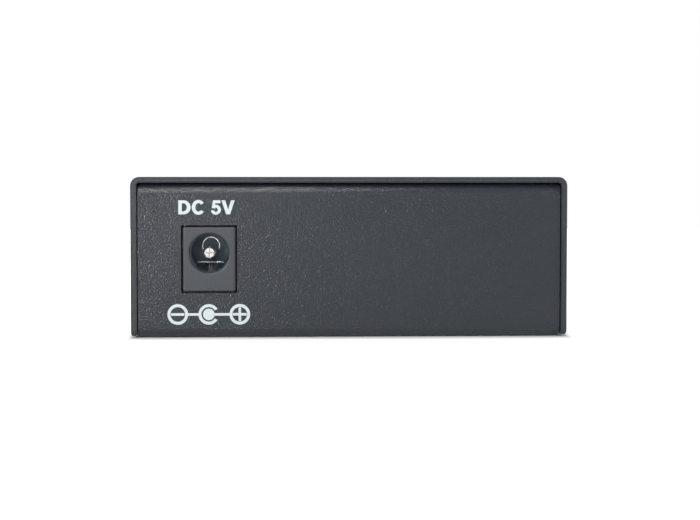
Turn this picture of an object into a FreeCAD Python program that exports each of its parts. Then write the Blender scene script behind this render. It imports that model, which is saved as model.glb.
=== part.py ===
"""Desktop fibre media converter: a folded steel case round a board with a power socket, a network socket
and a duplex fibre transceiver.

The front panel, with the network and fibre ports, faces -Y. The rear panel, with the power socket, faces +Y.
The underside of the case is z = 0, and the origin is the middle of it. Sizes are in millimetres.
"""

import FreeCAD, Part
import os
import types
import Sketcher
from FreeCAD import Placement, Rotation, Vector

SIZES = {
    # Case, over the cover
    "case_width": 73.0,
    "case_depth": 94.5,
    "case_height": 26.8,
    # Cover: one sheet folded over the top and both sides
    "cover_sheet": 1.0,
    "cover_bend": 1.5,
    "cover_foot_gap": 0.3,
    "cover_corner": 1.0,
    "sheet_edge_cut": 0.2,
    "vent_width": 1.6,
    "vent_length": 10.0,
    "vent_pitch": 4.5,
    "vent_rise": 15.5,
    # Tray: one sheet folded up into the base, both panels, their lips and two side flanges
    "tray_sheet": 1.0,
    "tray_bend": 1.6,
    "panel_inset": 0.5,
    "panel_side_gap": 0.15,
    "panel_corner_cut": 0.6,
    "lip_width": 6.0,
    "flange_height": 6.4,
    "flange_length": 78.0,
    "flange_relief": 1.2,
    "flange_strip_gap": 0.5,
    # Countersunk screws through the cover into the flanges
    "cover_screw_rise": 3.6,
    "cover_screw_spread": 56.0,
    "cover_screw_length": 4.0,
    "screw_radius": 1.5,
    "screw_head_radius": 2.5,
    "recess_width": 0.7,
    "recess_span": 2.8,
    "recess_depth": 0.9,
    # Board on four clinched standoffs
    "board_thickness": 1.6,
    "board_side_gap": 1.0,
    "board_end_gap": 0.55,
    "board_corner": 1.5,
    "standoff_height": 5.0,
    "standoff_radius": 3.1,
    "standoff_foot_radius": 2.4,
    "standoff_bore_depth": 4.8,
    "standoff_inset": 4.5,
    "standoff_end_inset": 6.2,
    "standoff_front_inset": 15.0,
    "port_standoff_gap": 4.4,
    "jack_standoff_gap": 5.5,
    "board_screw_head_radius": 3.1,
    "board_screw_head": 1.8,
    "board_screw_length": 5.5,
    "tail_length": 2.0,
    # Power socket
    "jack_side_offset": 13.0,
    "jack_width": 9.0,
    "jack_height": 11.0,
    "jack_length": 14.2,
    "jack_flange": 3.4,
    "jack_barrel_radius": 4.1,
    "jack_recess": 0.3,
    "jack_edge": 0.25,
    "jack_cutout_gap": 0.15,
    "jack_bore_radius": 3.2,
    "jack_bore_rise": 6.5,
    "jack_bore_depth": 10.2,
    "jack_mouth_chamfer": 0.25,
    "pin_radius": 1.0,
    "pin_tip_cut": 0.2,
    "pin_recess": 1.5,
    "pin_tail_radius": 0.8,
    "pin_slot": 0.14,
    "pin_slot_depth": 2.4,
    "spring_width": 4.5,
    "spring_sheet": 0.3,
    "spring_front": 2.2,
    "spring_front_drop": 3.6,
    "spring_crest": 5.6,
    "spring_crest_drop": 1.6,
    "spring_root": 11.6,
    "spring_root_drop": 3.6,
    "spring_flat": 1.8,
    "spring_channel_drop": 5.0,
    "spring_channel_gap": 0.1,
    "spring_channel_lead": 0.4,
    "terminal_sheet": 0.4,
    "terminal_width": 2.4,
    "terminal_rise": 1.8,
    # Shielded network socket, latch side down
    "net_port_spacing": 29.5,
    "net_width": 16.0,
    "net_height": 13.4,
    "net_length": 18.0,
    "net_proud": 0.25,
    "net_window_gap": 0.15,
    "net_shield": 0.25,
    "net_opening_width": 11.8,
    "net_opening_height": 7.0,
    "net_opening_depth": 12.5,
    "net_roof": 2.2,
    "net_latch_width": 6.4,
    "net_latch_drop": 1.6,
    "net_key_width": 4.0,
    "net_key_drop": 1.2,
    "net_contact_pitch": 1.02,
    "net_contact_width": 0.45,
    "net_contact_sheet": 0.3,
    "net_contact_front": 2.6,
    "net_contact_reach": 7.4,
    "net_contact_fall": 2.4,
    "net_slot_lead": 0.6,
    "net_slot_gap": 0.05,
    "net_tail_inset": 2.4,
    "net_tab_width": 2.0,
    "net_tab_setback": 9.0,
    # Duplex fibre transceiver
    "fibre_side_offset": 18.0,
    "fibre_width": 25.4,
    "fibre_height": 11.0,
    "fibre_length": 39.6,
    "fibre_window_gap": 0.2,
    "fibre_pitch": 12.7,
    "fibre_port_width": 9.2,
    "fibre_port_height": 7.5,
    "fibre_port_depth": 13.0,
    "fibre_port_rise": 5.2,
    "fibre_key_width": 3.9,
    "fibre_key_height": 1.2,
    "fibre_shoulder": 14.5,
    "fibre_shoulder_step": 0.9,
    "fibre_edge": 0.4,
    "barrel_radius": 2.0,
    "barrel_bore_radius": 1.25,
    "barrel_recess": 5.6,
    "barrel_tail": 3.0,
    "barrel_floor": 1.5,
    "latch_plate": 1.0,
    "latch_arm_sheet": 0.7,
    "latch_arm_height": 3.6,
    "latch_arm_length": 6.6,
    "latch_hook": 0.6,
    "latch_side_gap": 0.5,
    "fibre_pin_side": 0.5,
    "fibre_pin_pitch": 2.54,
    "fibre_pin_inset": 2.6,
    "fibre_post_side": 1.8,
    "fibre_post_inset": 16.0,
    "fibre_post_spread": 20.32,
    # Indicator lamps in their holder
    "lamp_offset": 14.4,
    "lamp_pitch_x": 5.0,
    "lamp_pitch_z": 4.4,
    "lamp_first_rise": 4.0,
    "lamp_width": 3.0,
    "lamp_height": 2.0,
    "lamp_hole_gap": 0.1,
    "lamp_tip_inset": 0.1,
    "lamp_length": 5.6,
    "lamp_lead": 0.5,
    "lamp_lead_spread": 1.1,
    "lamp_lead_step": 1.1,
    "holder_wall": 1.0,
    "holder_depth": 5.2,
    "holder_gap": 0.6,
    # Parts soldered on the board
    "coil_width": 12.8,
    "coil_depth": 7.2,
    "coil_height": 5.4,
    "coil_setback": 5.5,
    "coil_lead_pitch": 1.27,
    "chip_side": 14.0,
    "chip_height": 1.4,
    "chip_place": 2.0,
    "chip_lead_pitch": 1.27,
    "lead_width": 0.4,
    "lead_sheet": 0.2,
    "lead_reach": 1.1,
    "memory_length": 4.9,
    "memory_width": 3.9,
    "memory_height": 1.5,
    "memory_pitch": 1.27,
    "memory_gap": 6.0,
    "crystal_length": 11.0,
    "crystal_width": 4.7,
    "crystal_height": 3.4,
    "crystal_gap": 3.4,
    "regulator_length": 6.5,
    "regulator_width": 3.5,
    "regulator_height": 1.7,
    "regulator_tab": 3.0,
    "capacitor_radius": 3.15,
    "capacitor_height": 7.0,
    "capacitor_base": 1.0,
    "capacitor_pitch": 9.0,
    "inductor_side": 7.3,
    "inductor_height": 4.0,
    "inductor_corner": 1.2,
    "fuse_length": 4.5,
    "fuse_width": 3.2,
    "fuse_height": 1.2,
    "chip_part_length": 2.0,
    "chip_part_width": 1.25,
    "chip_part_height": 0.6,
    "chip_part_pitch": 2.6,
}


class Size:
    """A length that knows its value now and the formula on the sheet that keeps it up to date."""

    def __init__(self, value, formula):
        self.value = value
        self.formula = formula

    def __add__(self, other):
        other = as_size(other)
        return Size(self.value + other.value, f"({self.formula} + {other.formula})")

    def __sub__(self, other):
        other = as_size(other)
        return Size(self.value - other.value, f"({self.formula} - {other.formula})")

    def __rsub__(self, other):
        return as_size(other) - self

    def __mul__(self, other):
        other = as_size(other)
        return Size(self.value * other.value, f"({self.formula} * {other.formula})")

    def __truediv__(self, other):
        other = as_size(other)
        return Size(self.value / other.value, f"({self.formula} / {other.formula})")

    def __neg__(self):
        return Size(-self.value, f"(-{self.formula})")

    __radd__ = __add__
    __rmul__ = __mul__


def as_size(thing):
    """A size as it is, or a plain number as a size that never changes."""
    return thing if isinstance(thing, Size) else Size(float(thing), f"({float(thing)})")


size = types.SimpleNamespace(**{name: Size(value, f"Sizes.{name}") for name, value in SIZES.items()})

# Places worked out from the sizes, used by more than one piece
case_side = size.case_width / 2
case_end = size.case_depth / 2
cover_inside = case_side - size.cover_sheet
tray_top = size.case_height - size.cover_sheet
panel_side = cover_inside - size.panel_side_gap
panel_face = case_end - size.panel_inset
panel_back = panel_face - size.tray_sheet
flange_inside = cover_inside - size.tray_sheet
board_side = flange_inside - size.board_side_gap
board_end = panel_back - size.board_end_gap
board_low = size.tray_sheet + size.standoff_height
board_top = board_low + size.board_thickness
tail_end = board_low - size.tail_length
jack_x = case_side - size.jack_side_offset
jack_y = panel_face - size.jack_recess
jack_z = board_top + size.jack_bore_rise
fibre_x = case_side - size.fibre_side_offset
fibre_y = -case_end
fibre_z = board_top + size.fibre_port_rise
net_x = fibre_x - size.net_port_spacing
net_y = -panel_face - size.net_proud
net_back = net_y + size.net_length
net_top = board_top + size.net_height
net_opening_top = net_top - size.net_roof
net_opening_low = net_opening_top - size.net_opening_height
lamp_x = net_x - size.lamp_offset
lamp_z = board_top + size.lamp_first_rise
lamp_tip = -case_end + size.lamp_tip_inset
lamp_back = lamp_tip + size.lamp_length
holder_front = -panel_back + size.holder_gap
holder_back = holder_front + size.holder_depth
coil_y = net_back + size.coil_setback
chip_x = net_x
jack_back = jack_y - size.jack_length
jack_bore_end = jack_y - size.jack_bore_depth
spring_tail_y = jack_y - size.spring_root - size.spring_sheet / 2
switch_tail_y = jack_y - size.spring_front - size.terminal_sheet * 2
net_tail_y = net_back - size.net_tail_inset
fibre_back = fibre_y + size.fibre_length
fibre_pin_y = fibre_back - size.fibre_pin_inset
fibre_post_y = fibre_y + size.fibre_post_inset
memory_x = chip_x - size.chip_side / 2 - size.memory_gap
crystal_y = size.chip_place + size.chip_side / 2 + size.crystal_gap + size.crystal_width / 2
supply_y = jack_back - size.capacitor_pitch

HEXAGON_RISE = 3**0.5 / 2
PAST = 1.0  # how far a cutting outline goes past the face that it opens
VENTS_A_SIDE = 8
FIBRE_SIDES = (("transmit", -1), ("receive", 1))
PLANES = {"xy": "XY_Plane", "xz": "XZ_Plane", "yz": "YZ_Plane"}
STANDOFFS = (
    (-board_side + size.standoff_inset, board_end - size.standoff_end_inset),
    (jack_x - size.jack_width / 2 - size.jack_standoff_gap, board_end - size.standoff_end_inset),
    (-board_side + size.standoff_inset, -board_end + size.standoff_front_inset),
    (fibre_x - size.fibre_width / 2 - size.port_standoff_gap, -board_end + size.standoff_end_inset),
)

doc = FreeCAD.newDocument("FibreConverter")
table = doc.addObject("Spreadsheet::Sheet", "Sizes")
pieces = []


def fill_table():
    """Writes every size into the sheet, under its own alias."""
    for row, (name, value) in enumerate(SIZES.items(), 1):
        table.set(f"A{row}", name)
        table.set(f"B{row}", str(value))
        table.setAlias(f"B{row}", name)
    doc.recompute()


def bind(thing, **lengths):
    """Binds properties to sizes on the sheet. A double underscore in a name stands for a dot."""
    for name, length in lengths.items():
        thing.setExpression(name.replace("__", "."), as_size(length).formula)


def number(length):
    """The value of a size now."""
    return as_size(length).value


# ---- Sketches and features of a body ----


def new_body(label):
    """A body that makes one kept piece."""
    body = doc.addObject("PartDesign::Body", label)
    body.Label = label
    pieces.append(body)
    return body


def new_sketch(body, plane, at=0, origin=(0, 0)):
    """A sketch parallel to one of the body's planes, at a distance along the axis it faces."""
    sketch = body.newObject("Sketcher::SketchObject", "Sketch")
    support = next(f for f in body.Origin.OriginFeatures if f.Role == PLANES[plane])
    sketch.AttachmentSupport = (support, [""])
    sketch.MapMode = "FlatFace"
    depth = -as_size(at) if plane == "xz" else at
    bind(
        sketch,
        AttachmentOffset__Base__x=origin[0],
        AttachmentOffset__Base__y=origin[1],
        AttachmentOffset__Base__z=depth,
    )
    return sketch


def hold(sketch, kind, *where, value):
    """Adds one dimension to a sketch and binds it."""
    index = sketch.addConstraint(Sketcher.Constraint(kind, *where, number(value)))
    bind(sketch, **{f"Constraints[{index}]": value})


def hold_point(sketch, geometry, point, x, y):
    """Fixes a point of a sketch by its distances from the sketch's origin."""
    hold(sketch, "DistanceX", -1, 1, geometry, point, value=x)
    hold(sketch, "DistanceY", -1, 1, geometry, point, value=y)


def polygon(sketch, corners):
    """A closed outline of straight lines through corners."""
    first = sketch.GeometryCount
    spots = [Vector(number(x), number(y), 0) for x, y in corners]
    for start, end in zip(spots, spots[1:] + spots[:1]):
        sketch.addGeometry(Part.LineSegment(start, end))
    for k, (x, y) in enumerate(corners):
        before = first + (k - 1) % len(corners)
        sketch.addConstraint(Sketcher.Constraint("Coincident", before, 2, first + k, 1))
        hold_point(sketch, first + k, 1, x, y)


def rectangle(sketch, x, y, width, height):
    """A rectangle about a centre."""
    left, right = x - width / 2, x + width / 2
    low, high = y - height / 2, y + height / 2
    polygon(sketch, [(left, low), (right, low), (right, high), (left, high)])


def circle(sketch, x, y, radius):
    """A circle about a centre."""
    spot = Vector(number(x), number(y), 0)
    index = sketch.addGeometry(Part.Circle(spot, Vector(0, 0, 1), number(radius)))
    hold_point(sketch, index, 3, x, y)
    hold(sketch, "Radius", index, value=radius)


def hexagon(sketch, x, y, radius):
    """A hexagon about a centre, with two corners along the sketch's first axis."""
    rise = radius * HEXAGON_RISE
    half = radius / 2
    polygon(
        sketch,
        [
            (x + radius, y),
            (x + half, y + rise),
            (x - half, y + rise),
            (x - radius, y),
            (x - half, y - rise),
            (x + half, y - rise),
        ],
    )


def extrude(body, sketch, length, cut=False, both=False):
    """Pads or pockets a sketch towards the rising side of the axis it faces, or to both sides."""
    feature = body.newObject("PartDesign::Pocket" if cut else "PartDesign::Pad", "Feature")
    feature.Profile = sketch
    facing_back = sketch.AttachmentSupport[0][0].Role == PLANES["xz"]
    feature.Reversed = facing_back != cut
    if both:
        feature.SideType = "Symmetric"
    bind(feature, Length=length)
    feature.recompute(True)
    return feature


def revolve(body, sketch, axis="H_Axis"):
    """Turns a half outline about an axis of its own sketch."""
    feature = body.newObject("PartDesign::Revolution", "Turned")
    feature.Profile = sketch
    feature.ReferenceAxis = (sketch, [axis])
    feature.Angle = 360
    feature.recompute(True)
    return feature


def edges_where(shape, test):
    """Names of the edges whose middle and direction pass a test."""
    found = []
    for index, edge in enumerate(shape.Edges, 1):
        middle = edge.valueAt((edge.FirstParameter + edge.LastParameter) / 2)
        straight = edge.Curve.TypeId == "Part::GeomLine"
        way = edge.tangentAt(edge.FirstParameter) if straight else Vector(0, 0, 0)
        if test(middle, way):
            found.append(f"Edge{index}")
    return found


def dress(body, kind, amount, test):
    """A fillet or a chamfer on the edges that pass a test."""
    base = body.Tip
    feature = body.newObject("PartDesign::" + kind, kind)
    feature.Base = (base, edges_where(base.Shape, test))
    bind(feature, **{"Radius" if kind == "Fillet" else "Size": amount})
    feature.recompute(True)
    return feature


def near(value, length):
    """True where a coordinate is at a size."""
    return abs(value - number(length)) < 0.01


def runs(way, axis):
    """True for a straight edge along an axis: 0, 1 or 2."""
    return abs(way[axis]) > 0.99


# ---- Primitives ----


def place(thing, x, y, z):
    bind(thing, Placement__Base__x=x, Placement__Base__y=y, Placement__Base__z=z)


def box(x, y, z, dx, dy, dz):
    """A block from its lowest corner."""
    block = doc.addObject("Part::Box", "Block")
    bind(block, Length=dx, Width=dy, Height=dz)
    place(block, x, y, z)
    return block


def centred_box(x, y, z, dx, dy, dz):
    """A block that stands at z about a centre line."""
    return box(x - dx / 2, y - dy / 2, z, dx, dy, dz)


TURNS = {
    "x": Rotation(Vector(0, 1, 0), 90),
    "-x": Rotation(Vector(0, 1, 0), -90),
    "y": Rotation(Vector(1, 0, 0), -90),
    "-y": Rotation(Vector(1, 0, 0), 90),
    "z": Rotation(),
}


def rod(x, y, z, radius, length, way="z"):
    """A cylinder from the middle of its first end."""
    cylinder = doc.addObject("Part::Cylinder", "Rod")
    cylinder.Placement = Placement(Vector(), TURNS[way])
    bind(cylinder, Radius=radius, Height=length)
    place(cylinder, x, y, z)
    return cylinder


def cone(x, y, z, first, last, length, way="z"):
    """A cone from the middle of its first end."""
    taper = doc.addObject("Part::Cone", "Taper")
    taper.Placement = Placement(Vector(), TURNS[way])
    bind(taper, Radius1=first, Radius2=last, Height=length)
    place(taper, x, y, z)
    return taper


def prism(x, y, z, radius, height):
    """A six-sided upright prism, with two corners along X."""
    block = doc.addObject("Part::Prism", "Prism")
    block.Polygon = 6
    bind(block, Circumradius=radius, Height=height)
    place(block, x, y, z)
    return block


def fuse(*shapes):
    joined = doc.addObject("Part::MultiFuse", "Joined")
    joined.Shapes = list(shapes)
    return joined


def cut(base, *tools):
    removed = doc.addObject("Part::Cut", "Removed")
    removed.Base = base
    removed.Tool = tools[0] if len(tools) == 1 else fuse(*tools)
    return removed


def keep(label, *solids):
    """Keeps one solid, or several alike as a group, as a piece of its own."""
    if len(solids) == 1:
        solids[0].Label = label
        pieces.append(solids[0])
        return
    group = doc.addObject("Part::Compound", label)
    group.Label = label
    group.Links = list(solids)
    pieces.append(group)


# ---- The case ----


def make_top_cover():
    body = new_body("top_cover")
    outline = new_sketch(body, "xz")
    polygon(
        outline,
        [
            (-case_side, size.cover_foot_gap),
            (-case_side, size.case_height),
            (case_side, size.case_height),
            (case_side, size.cover_foot_gap),
            (cover_inside, size.cover_foot_gap),
            (cover_inside, tray_top),
            (-cover_inside, tray_top),
            (-cover_inside, size.cover_foot_gap),
        ],
    )
    extrude(body, outline, size.case_depth, both=True)
    dress(body, "Fillet", size.cover_bend, lambda p, w: runs(w, 1) and near(p.z, size.case_height))
    dress(body, "Fillet", size.cover_bend - size.cover_sheet, lambda p, w: runs(w, 1) and near(p.z, tray_top))
    dress(
        body,
        "Fillet",
        size.cover_corner,
        lambda p, w: runs(w, 0) and near(p.z, size.cover_foot_gap) and near(abs(p.y), case_end),
    )
    dress(body, "Chamfer", size.sheet_edge_cut, lambda p, w: near(abs(p.y), case_end) and not runs(w, 1))
    cover_vents(body)
    for side, way in ((1, "x"), (-1, "-x")):
        for end in (1, -1):
            sink = body.newObject("PartDesign::SubtractiveCone", "Countersink")
            sink.Placement = Placement(Vector(), TURNS[way])
            bind(sink, Radius1=size.screw_radius, Radius2=size.screw_head_radius, Height=size.cover_sheet)
            place(sink, side * cover_inside, end * size.cover_screw_spread / 2, size.cover_screw_rise)
            sink.recompute(True)


def cover_vents(body):
    """A row of upright slots through both side walls."""
    sketch = new_sketch(body, "yz")
    for k in range(VENTS_A_SIDE):
        step = k - (VENTS_A_SIDE - 1) / 2
        rectangle(sketch, step * size.vent_pitch, size.vent_rise, size.vent_width, size.vent_length)
    extrude(body, sketch, size.case_width + PAST, cut=True, both=True)


def make_base_tray():
    body = new_body("base_tray")
    outline = new_sketch(body, "yz")
    polygon(
        outline,
        [
            (-panel_face + size.lip_width, tray_top),
            (-panel_face, tray_top),
            (-panel_face, 0),
            (panel_face, 0),
            (panel_face, tray_top),
            (panel_face - size.lip_width, tray_top),
            (panel_face - size.lip_width, tray_top - size.tray_sheet),
            (panel_back, tray_top - size.tray_sheet),
            (panel_back, size.tray_sheet),
            (-panel_back, size.tray_sheet),
            (-panel_back, tray_top - size.tray_sheet),
            (-panel_face + size.lip_width, tray_top - size.tray_sheet),
        ],
    )
    extrude(body, outline, panel_side * 2, both=True)
    inner_bend = size.tray_bend - size.tray_sheet
    dress(body, "Fillet", size.tray_bend, lambda p, w: runs(w, 0) and near(abs(p.y), panel_face))
    dress(body, "Fillet", inner_bend, lambda p, w: runs(w, 0) and near(abs(p.y), panel_back))
    trim_tray_corners(body)
    fold_side_flanges(body)
    cut_panel_windows(body)
    cut_screw_holes(body)


def trim_tray_corners(body):
    """Cuts the corners of both panels back, as seen from the end."""
    sketch = new_sketch(body, "xz")
    for side in (1, -1):
        for level, inward in ((0, 1), (tray_top, -1)):
            polygon(
                sketch,
                [
                    (side * (panel_side - size.panel_corner_cut), level),
                    (side * panel_side, level + inward * size.panel_corner_cut),
                    (side * (panel_side + PAST), level + inward * size.panel_corner_cut),
                    (side * (panel_side + PAST), level - inward * PAST),
                    (side * (panel_side - size.panel_corner_cut), level - inward * PAST),
                ],
            )
    extrude(body, sketch, size.case_depth + PAST, cut=True, both=True)


def fold_side_flanges(body):
    """Cuts a strip off each side of the base and folds a flange up in its place, relieved at its ends."""
    strip_start = cover_inside - size.tray_bend - size.flange_strip_gap
    strips = new_sketch(body, "xy", at=-PAST)
    flanges = new_sketch(body, "xz")
    for side in (1, -1):
        rectangle(
            strips,
            side * (strip_start + case_side) / 2,
            0,
            case_side - strip_start,
            size.flange_length + size.flange_relief * 2,
        )
        polygon(
            flanges,
            [
                (side * strip_start, 0),
                (side * cover_inside, 0),
                (side * cover_inside, size.flange_height),
                (side * flange_inside, size.flange_height),
                (side * flange_inside, size.tray_sheet),
                (side * strip_start, size.tray_sheet),
            ],
        )
    extrude(body, strips, size.tray_sheet + PAST, cut=True)
    extrude(body, flanges, size.flange_length, both=True)
    dress(
        body,
        "Fillet",
        size.tray_bend,
        lambda p, w: runs(w, 1) and near(abs(p.x), cover_inside) and near(p.z, 0),
    )
    dress(
        body,
        "Fillet",
        size.tray_bend - size.tray_sheet,
        lambda p, w: runs(w, 1) and near(abs(p.x), flange_inside) and near(p.z, size.tray_sheet),
    )
    dress(
        body,
        "Chamfer",
        size.cover_corner,
        lambda p, w: runs(w, 0) and near(p.z, size.flange_height) and near(abs(p.y), size.flange_length / 2),
    )


def cut_panel_windows(body):
    """The ports' windows and lamp holes in the front panel, and the socket's in the rear one."""
    front = new_sketch(body, "xz", at=-case_end)
    rectangle(
        front,
        net_x,
        board_top + size.net_height / 2,
        size.net_width + size.net_window_gap * 2,
        size.net_height + size.net_window_gap * 2,
    )
    rectangle(
        front,
        fibre_x,
        board_top + size.fibre_height / 2,
        size.fibre_width + size.fibre_window_gap * 2,
        size.fibre_height + size.fibre_window_gap * 2,
    )
    for x, z in lamp_places():
        rectangle(
            front,
            x,
            z,
            size.lamp_width + size.lamp_hole_gap * 2,
            size.lamp_height + size.lamp_hole_gap * 2,
        )
    extrude(body, front, size.tray_sheet + size.panel_inset, cut=True)
    rear = new_sketch(body, "xz", at=panel_back)
    rectangle(
        rear,
        jack_x,
        board_top + size.jack_height / 2,
        size.jack_width + size.jack_cutout_gap * 2,
        size.jack_height + size.jack_cutout_gap * 2,
    )
    extrude(body, rear, size.tray_sheet + PAST, cut=True)


def cut_screw_holes(body):
    """Six-sided holes for the standoffs in the base, and round ones for the cover screws in the flanges."""
    feet = new_sketch(body, "xy", at=-PAST)
    for x, y in STANDOFFS:
        hexagon(feet, x, y, size.standoff_foot_radius)
    extrude(body, feet, size.tray_sheet + PAST, cut=True)
    holes = new_sketch(body, "yz")
    for end in (1, -1):
        circle(holes, end * size.cover_screw_spread / 2, size.cover_screw_rise, size.screw_radius)
    extrude(body, holes, size.case_width, cut=True, both=True)


def cross_recess(x, y, z, way):
    """The two bars of a cross recess that goes in from a point on a cover screw's face."""
    start = x - size.recess_depth if way == "x" else x - PAST
    length = size.recess_depth + PAST
    bars = []
    for across, up in ((size.recess_span, size.recess_width), (size.recess_width, size.recess_span)):
        bars.append(box(start, y - across / 2, z - up / 2, length, across, up))
    return bars


def make_cover_screws():
    screws = []
    for side, way, inward in ((1, "x", "-x"), (-1, "-x", "x")):
        for end in (1, -1):
            x, y, z = side * case_side, end * size.cover_screw_spread / 2, size.cover_screw_rise
            shank = rod(x, y, z, size.screw_radius, size.cover_screw_length, inward)
            head = cone(x, y, z, size.screw_head_radius, size.screw_radius, size.cover_sheet, inward)
            screws.append(cut(fuse(shank, head), *cross_recess(x, y, z, way)))
    keep("cover_screws", *screws)


# ---- The board and what holds it ----


def make_standoffs():
    """Six-sided posts whose narrower feet are pressed into the base, with blind threaded bores."""
    standoffs = []
    for x, y in STANDOFFS:
        post = prism(x, y, size.tray_sheet, size.standoff_radius, size.standoff_height)
        foot = prism(x, y, 0, size.standoff_foot_radius, size.tray_sheet)
        low = board_low - size.standoff_bore_depth
        thread = rod(x, y, low, size.screw_radius, size.standoff_bore_depth)
        standoffs.append(cut(fuse(post, foot), thread))
    keep("board_standoffs", *standoffs)


def make_board_screws():
    """Six-sided heads on the board, over the standoffs."""
    screws = []
    for x, y in STANDOFFS:
        shank = rod(x, y, board_top - size.board_screw_length, size.screw_radius, size.board_screw_length)
        head = prism(x, y, board_top, size.board_screw_head_radius, size.board_screw_head)
        screws.append(fuse(shank, head))
    keep("board_screws", *screws)


def make_circuit_board():
    body = new_body("circuit_board")
    outline = new_sketch(body, "xy", at=board_low)
    rectangle(outline, 0, 0, board_side * 2, board_end * 2)
    extrude(body, outline, size.board_thickness)
    dress(body, "Fillet", size.board_corner, lambda p, w: runs(w, 2))
    holes = new_sketch(body, "xy", at=board_low - PAST)
    for x, y in STANDOFFS:
        circle(holes, x, y, size.screw_radius)
    extrude(body, holes, size.board_thickness + PAST * 2, cut=True)
    slots = new_sketch(body, "xy", at=board_low - PAST)
    for tails in (jack_tails(), lamp_tails(), net_tails(), net_tabs(), fibre_tails()):
        for x, y, width, depth in tails:
            rectangle(slots, x, y, width, depth)
    extrude(body, slots, size.board_thickness + PAST * 2, cut=True)


# ---- The power socket ----


def jack_tails():
    """Centre, width and depth of the slots for the socket's three soldered tails."""
    return [
        (jack_x, jack_back - size.terminal_sheet / 2, size.terminal_width, size.terminal_sheet),
        (jack_x, spring_tail_y, size.terminal_width, size.spring_sheet),
        (jack_x, switch_tail_y, size.terminal_width, size.terminal_sheet),
    ]


def make_jack_housing():
    """A square-faced flange, a round-backed barrel, the plug's bore and the channel of the sleeve spring."""
    body = new_body("power_socket_housing")
    face = new_sketch(body, "xz", at=jack_y - size.jack_flange)
    rectangle(face, jack_x, board_top + size.jack_height / 2, size.jack_width, size.jack_height)
    extrude(body, face, size.jack_flange)
    dress(body, "Chamfer", size.jack_edge, lambda p, w: near(p.y, jack_y))
    rear = new_sketch(body, "xz", at=jack_back)
    rectangle(
        rear, jack_x, board_top + size.jack_bore_rise / 2, size.jack_barrel_radius * 2, size.jack_bore_rise
    )
    extrude(body, rear, size.jack_length - size.jack_flange)
    crown = new_sketch(body, "xz", at=jack_back)
    circle(crown, jack_x, jack_z, size.jack_barrel_radius)
    extrude(body, crown, size.jack_length - size.jack_flange)

    bore = new_sketch(body, "xz", at=jack_bore_end)
    circle(bore, jack_x, jack_z, size.jack_bore_radius)
    extrude(body, bore, size.jack_bore_depth, cut=True)
    dress(
        body,
        "Chamfer",
        size.jack_mouth_chamfer,
        lambda p, w: near(p.y, jack_y) and w.Length < 0.5 and is_on_ring(p, size.jack_bore_radius),
    )
    channel = new_sketch(body, "xz", at=jack_back)
    channel_width = size.spring_width + size.spring_channel_gap * 2
    channel_low = jack_z - size.spring_channel_drop
    channel_top = jack_z - size.jack_bore_radius / 2
    rectangle(channel, jack_x, (channel_low + channel_top) / 2, channel_width, channel_top - channel_low)
    extrude(body, channel, size.jack_length - size.spring_front + size.spring_channel_lead, cut=True)
    wall = new_sketch(body, "xz", at=jack_back)
    rectangle(
        wall,
        jack_x,
        jack_z - size.spring_root_drop / 2,
        size.jack_barrel_radius * 2,
        size.spring_root_drop,
    )
    extrude(body, wall, size.jack_length - size.jack_bore_depth)
    pin_hole = new_sketch(body, "xz", at=jack_back)
    circle(pin_hole, jack_x, jack_z, size.pin_tail_radius)
    extrude(body, pin_hole, size.jack_length, cut=True)
    floor = new_sketch(body, "xy", at=board_top)
    for x, y, width, depth in jack_tails()[1:]:
        rectangle(floor, x, y, width, depth)
    extrude(body, floor, size.jack_bore_rise - size.spring_channel_drop, cut=True)


def is_on_ring(point, radius):
    """True for a point at a radius from the socket's axis."""
    across = point.x - number(jack_x)
    up = point.z - number(jack_z)
    return abs((across * across + up * up) ** 0.5 - number(radius)) < 0.05


def make_jack_pin():
    """The socket's centre contact: a blunt tip split by a cross, and a thinner tail riveted behind."""
    body = new_body("power_socket_pin")
    front = jack_y - size.pin_recess
    back = jack_back - size.terminal_sheet
    contact = new_sketch(body, "xz", at=jack_bore_end)
    circle(contact, jack_x, jack_z, size.pin_radius)
    extrude(body, contact, front - jack_bore_end)
    dress(body, "Chamfer", size.pin_tip_cut, lambda p, w: near(p.y, front))
    rivet = new_sketch(body, "xz", at=back)
    circle(rivet, jack_x, jack_z, size.pin_tail_radius)
    extrude(body, rivet, jack_bore_end - back)
    for width, height in ((size.pin_slot, size.pin_radius * 3), (size.pin_radius * 3, size.pin_slot)):
        slot = new_sketch(body, "xz", at=front - size.pin_slot_depth)
        rectangle(slot, jack_x, jack_z, width, height)
        extrude(body, slot, size.pin_slot_depth + PAST, cut=True)


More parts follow.
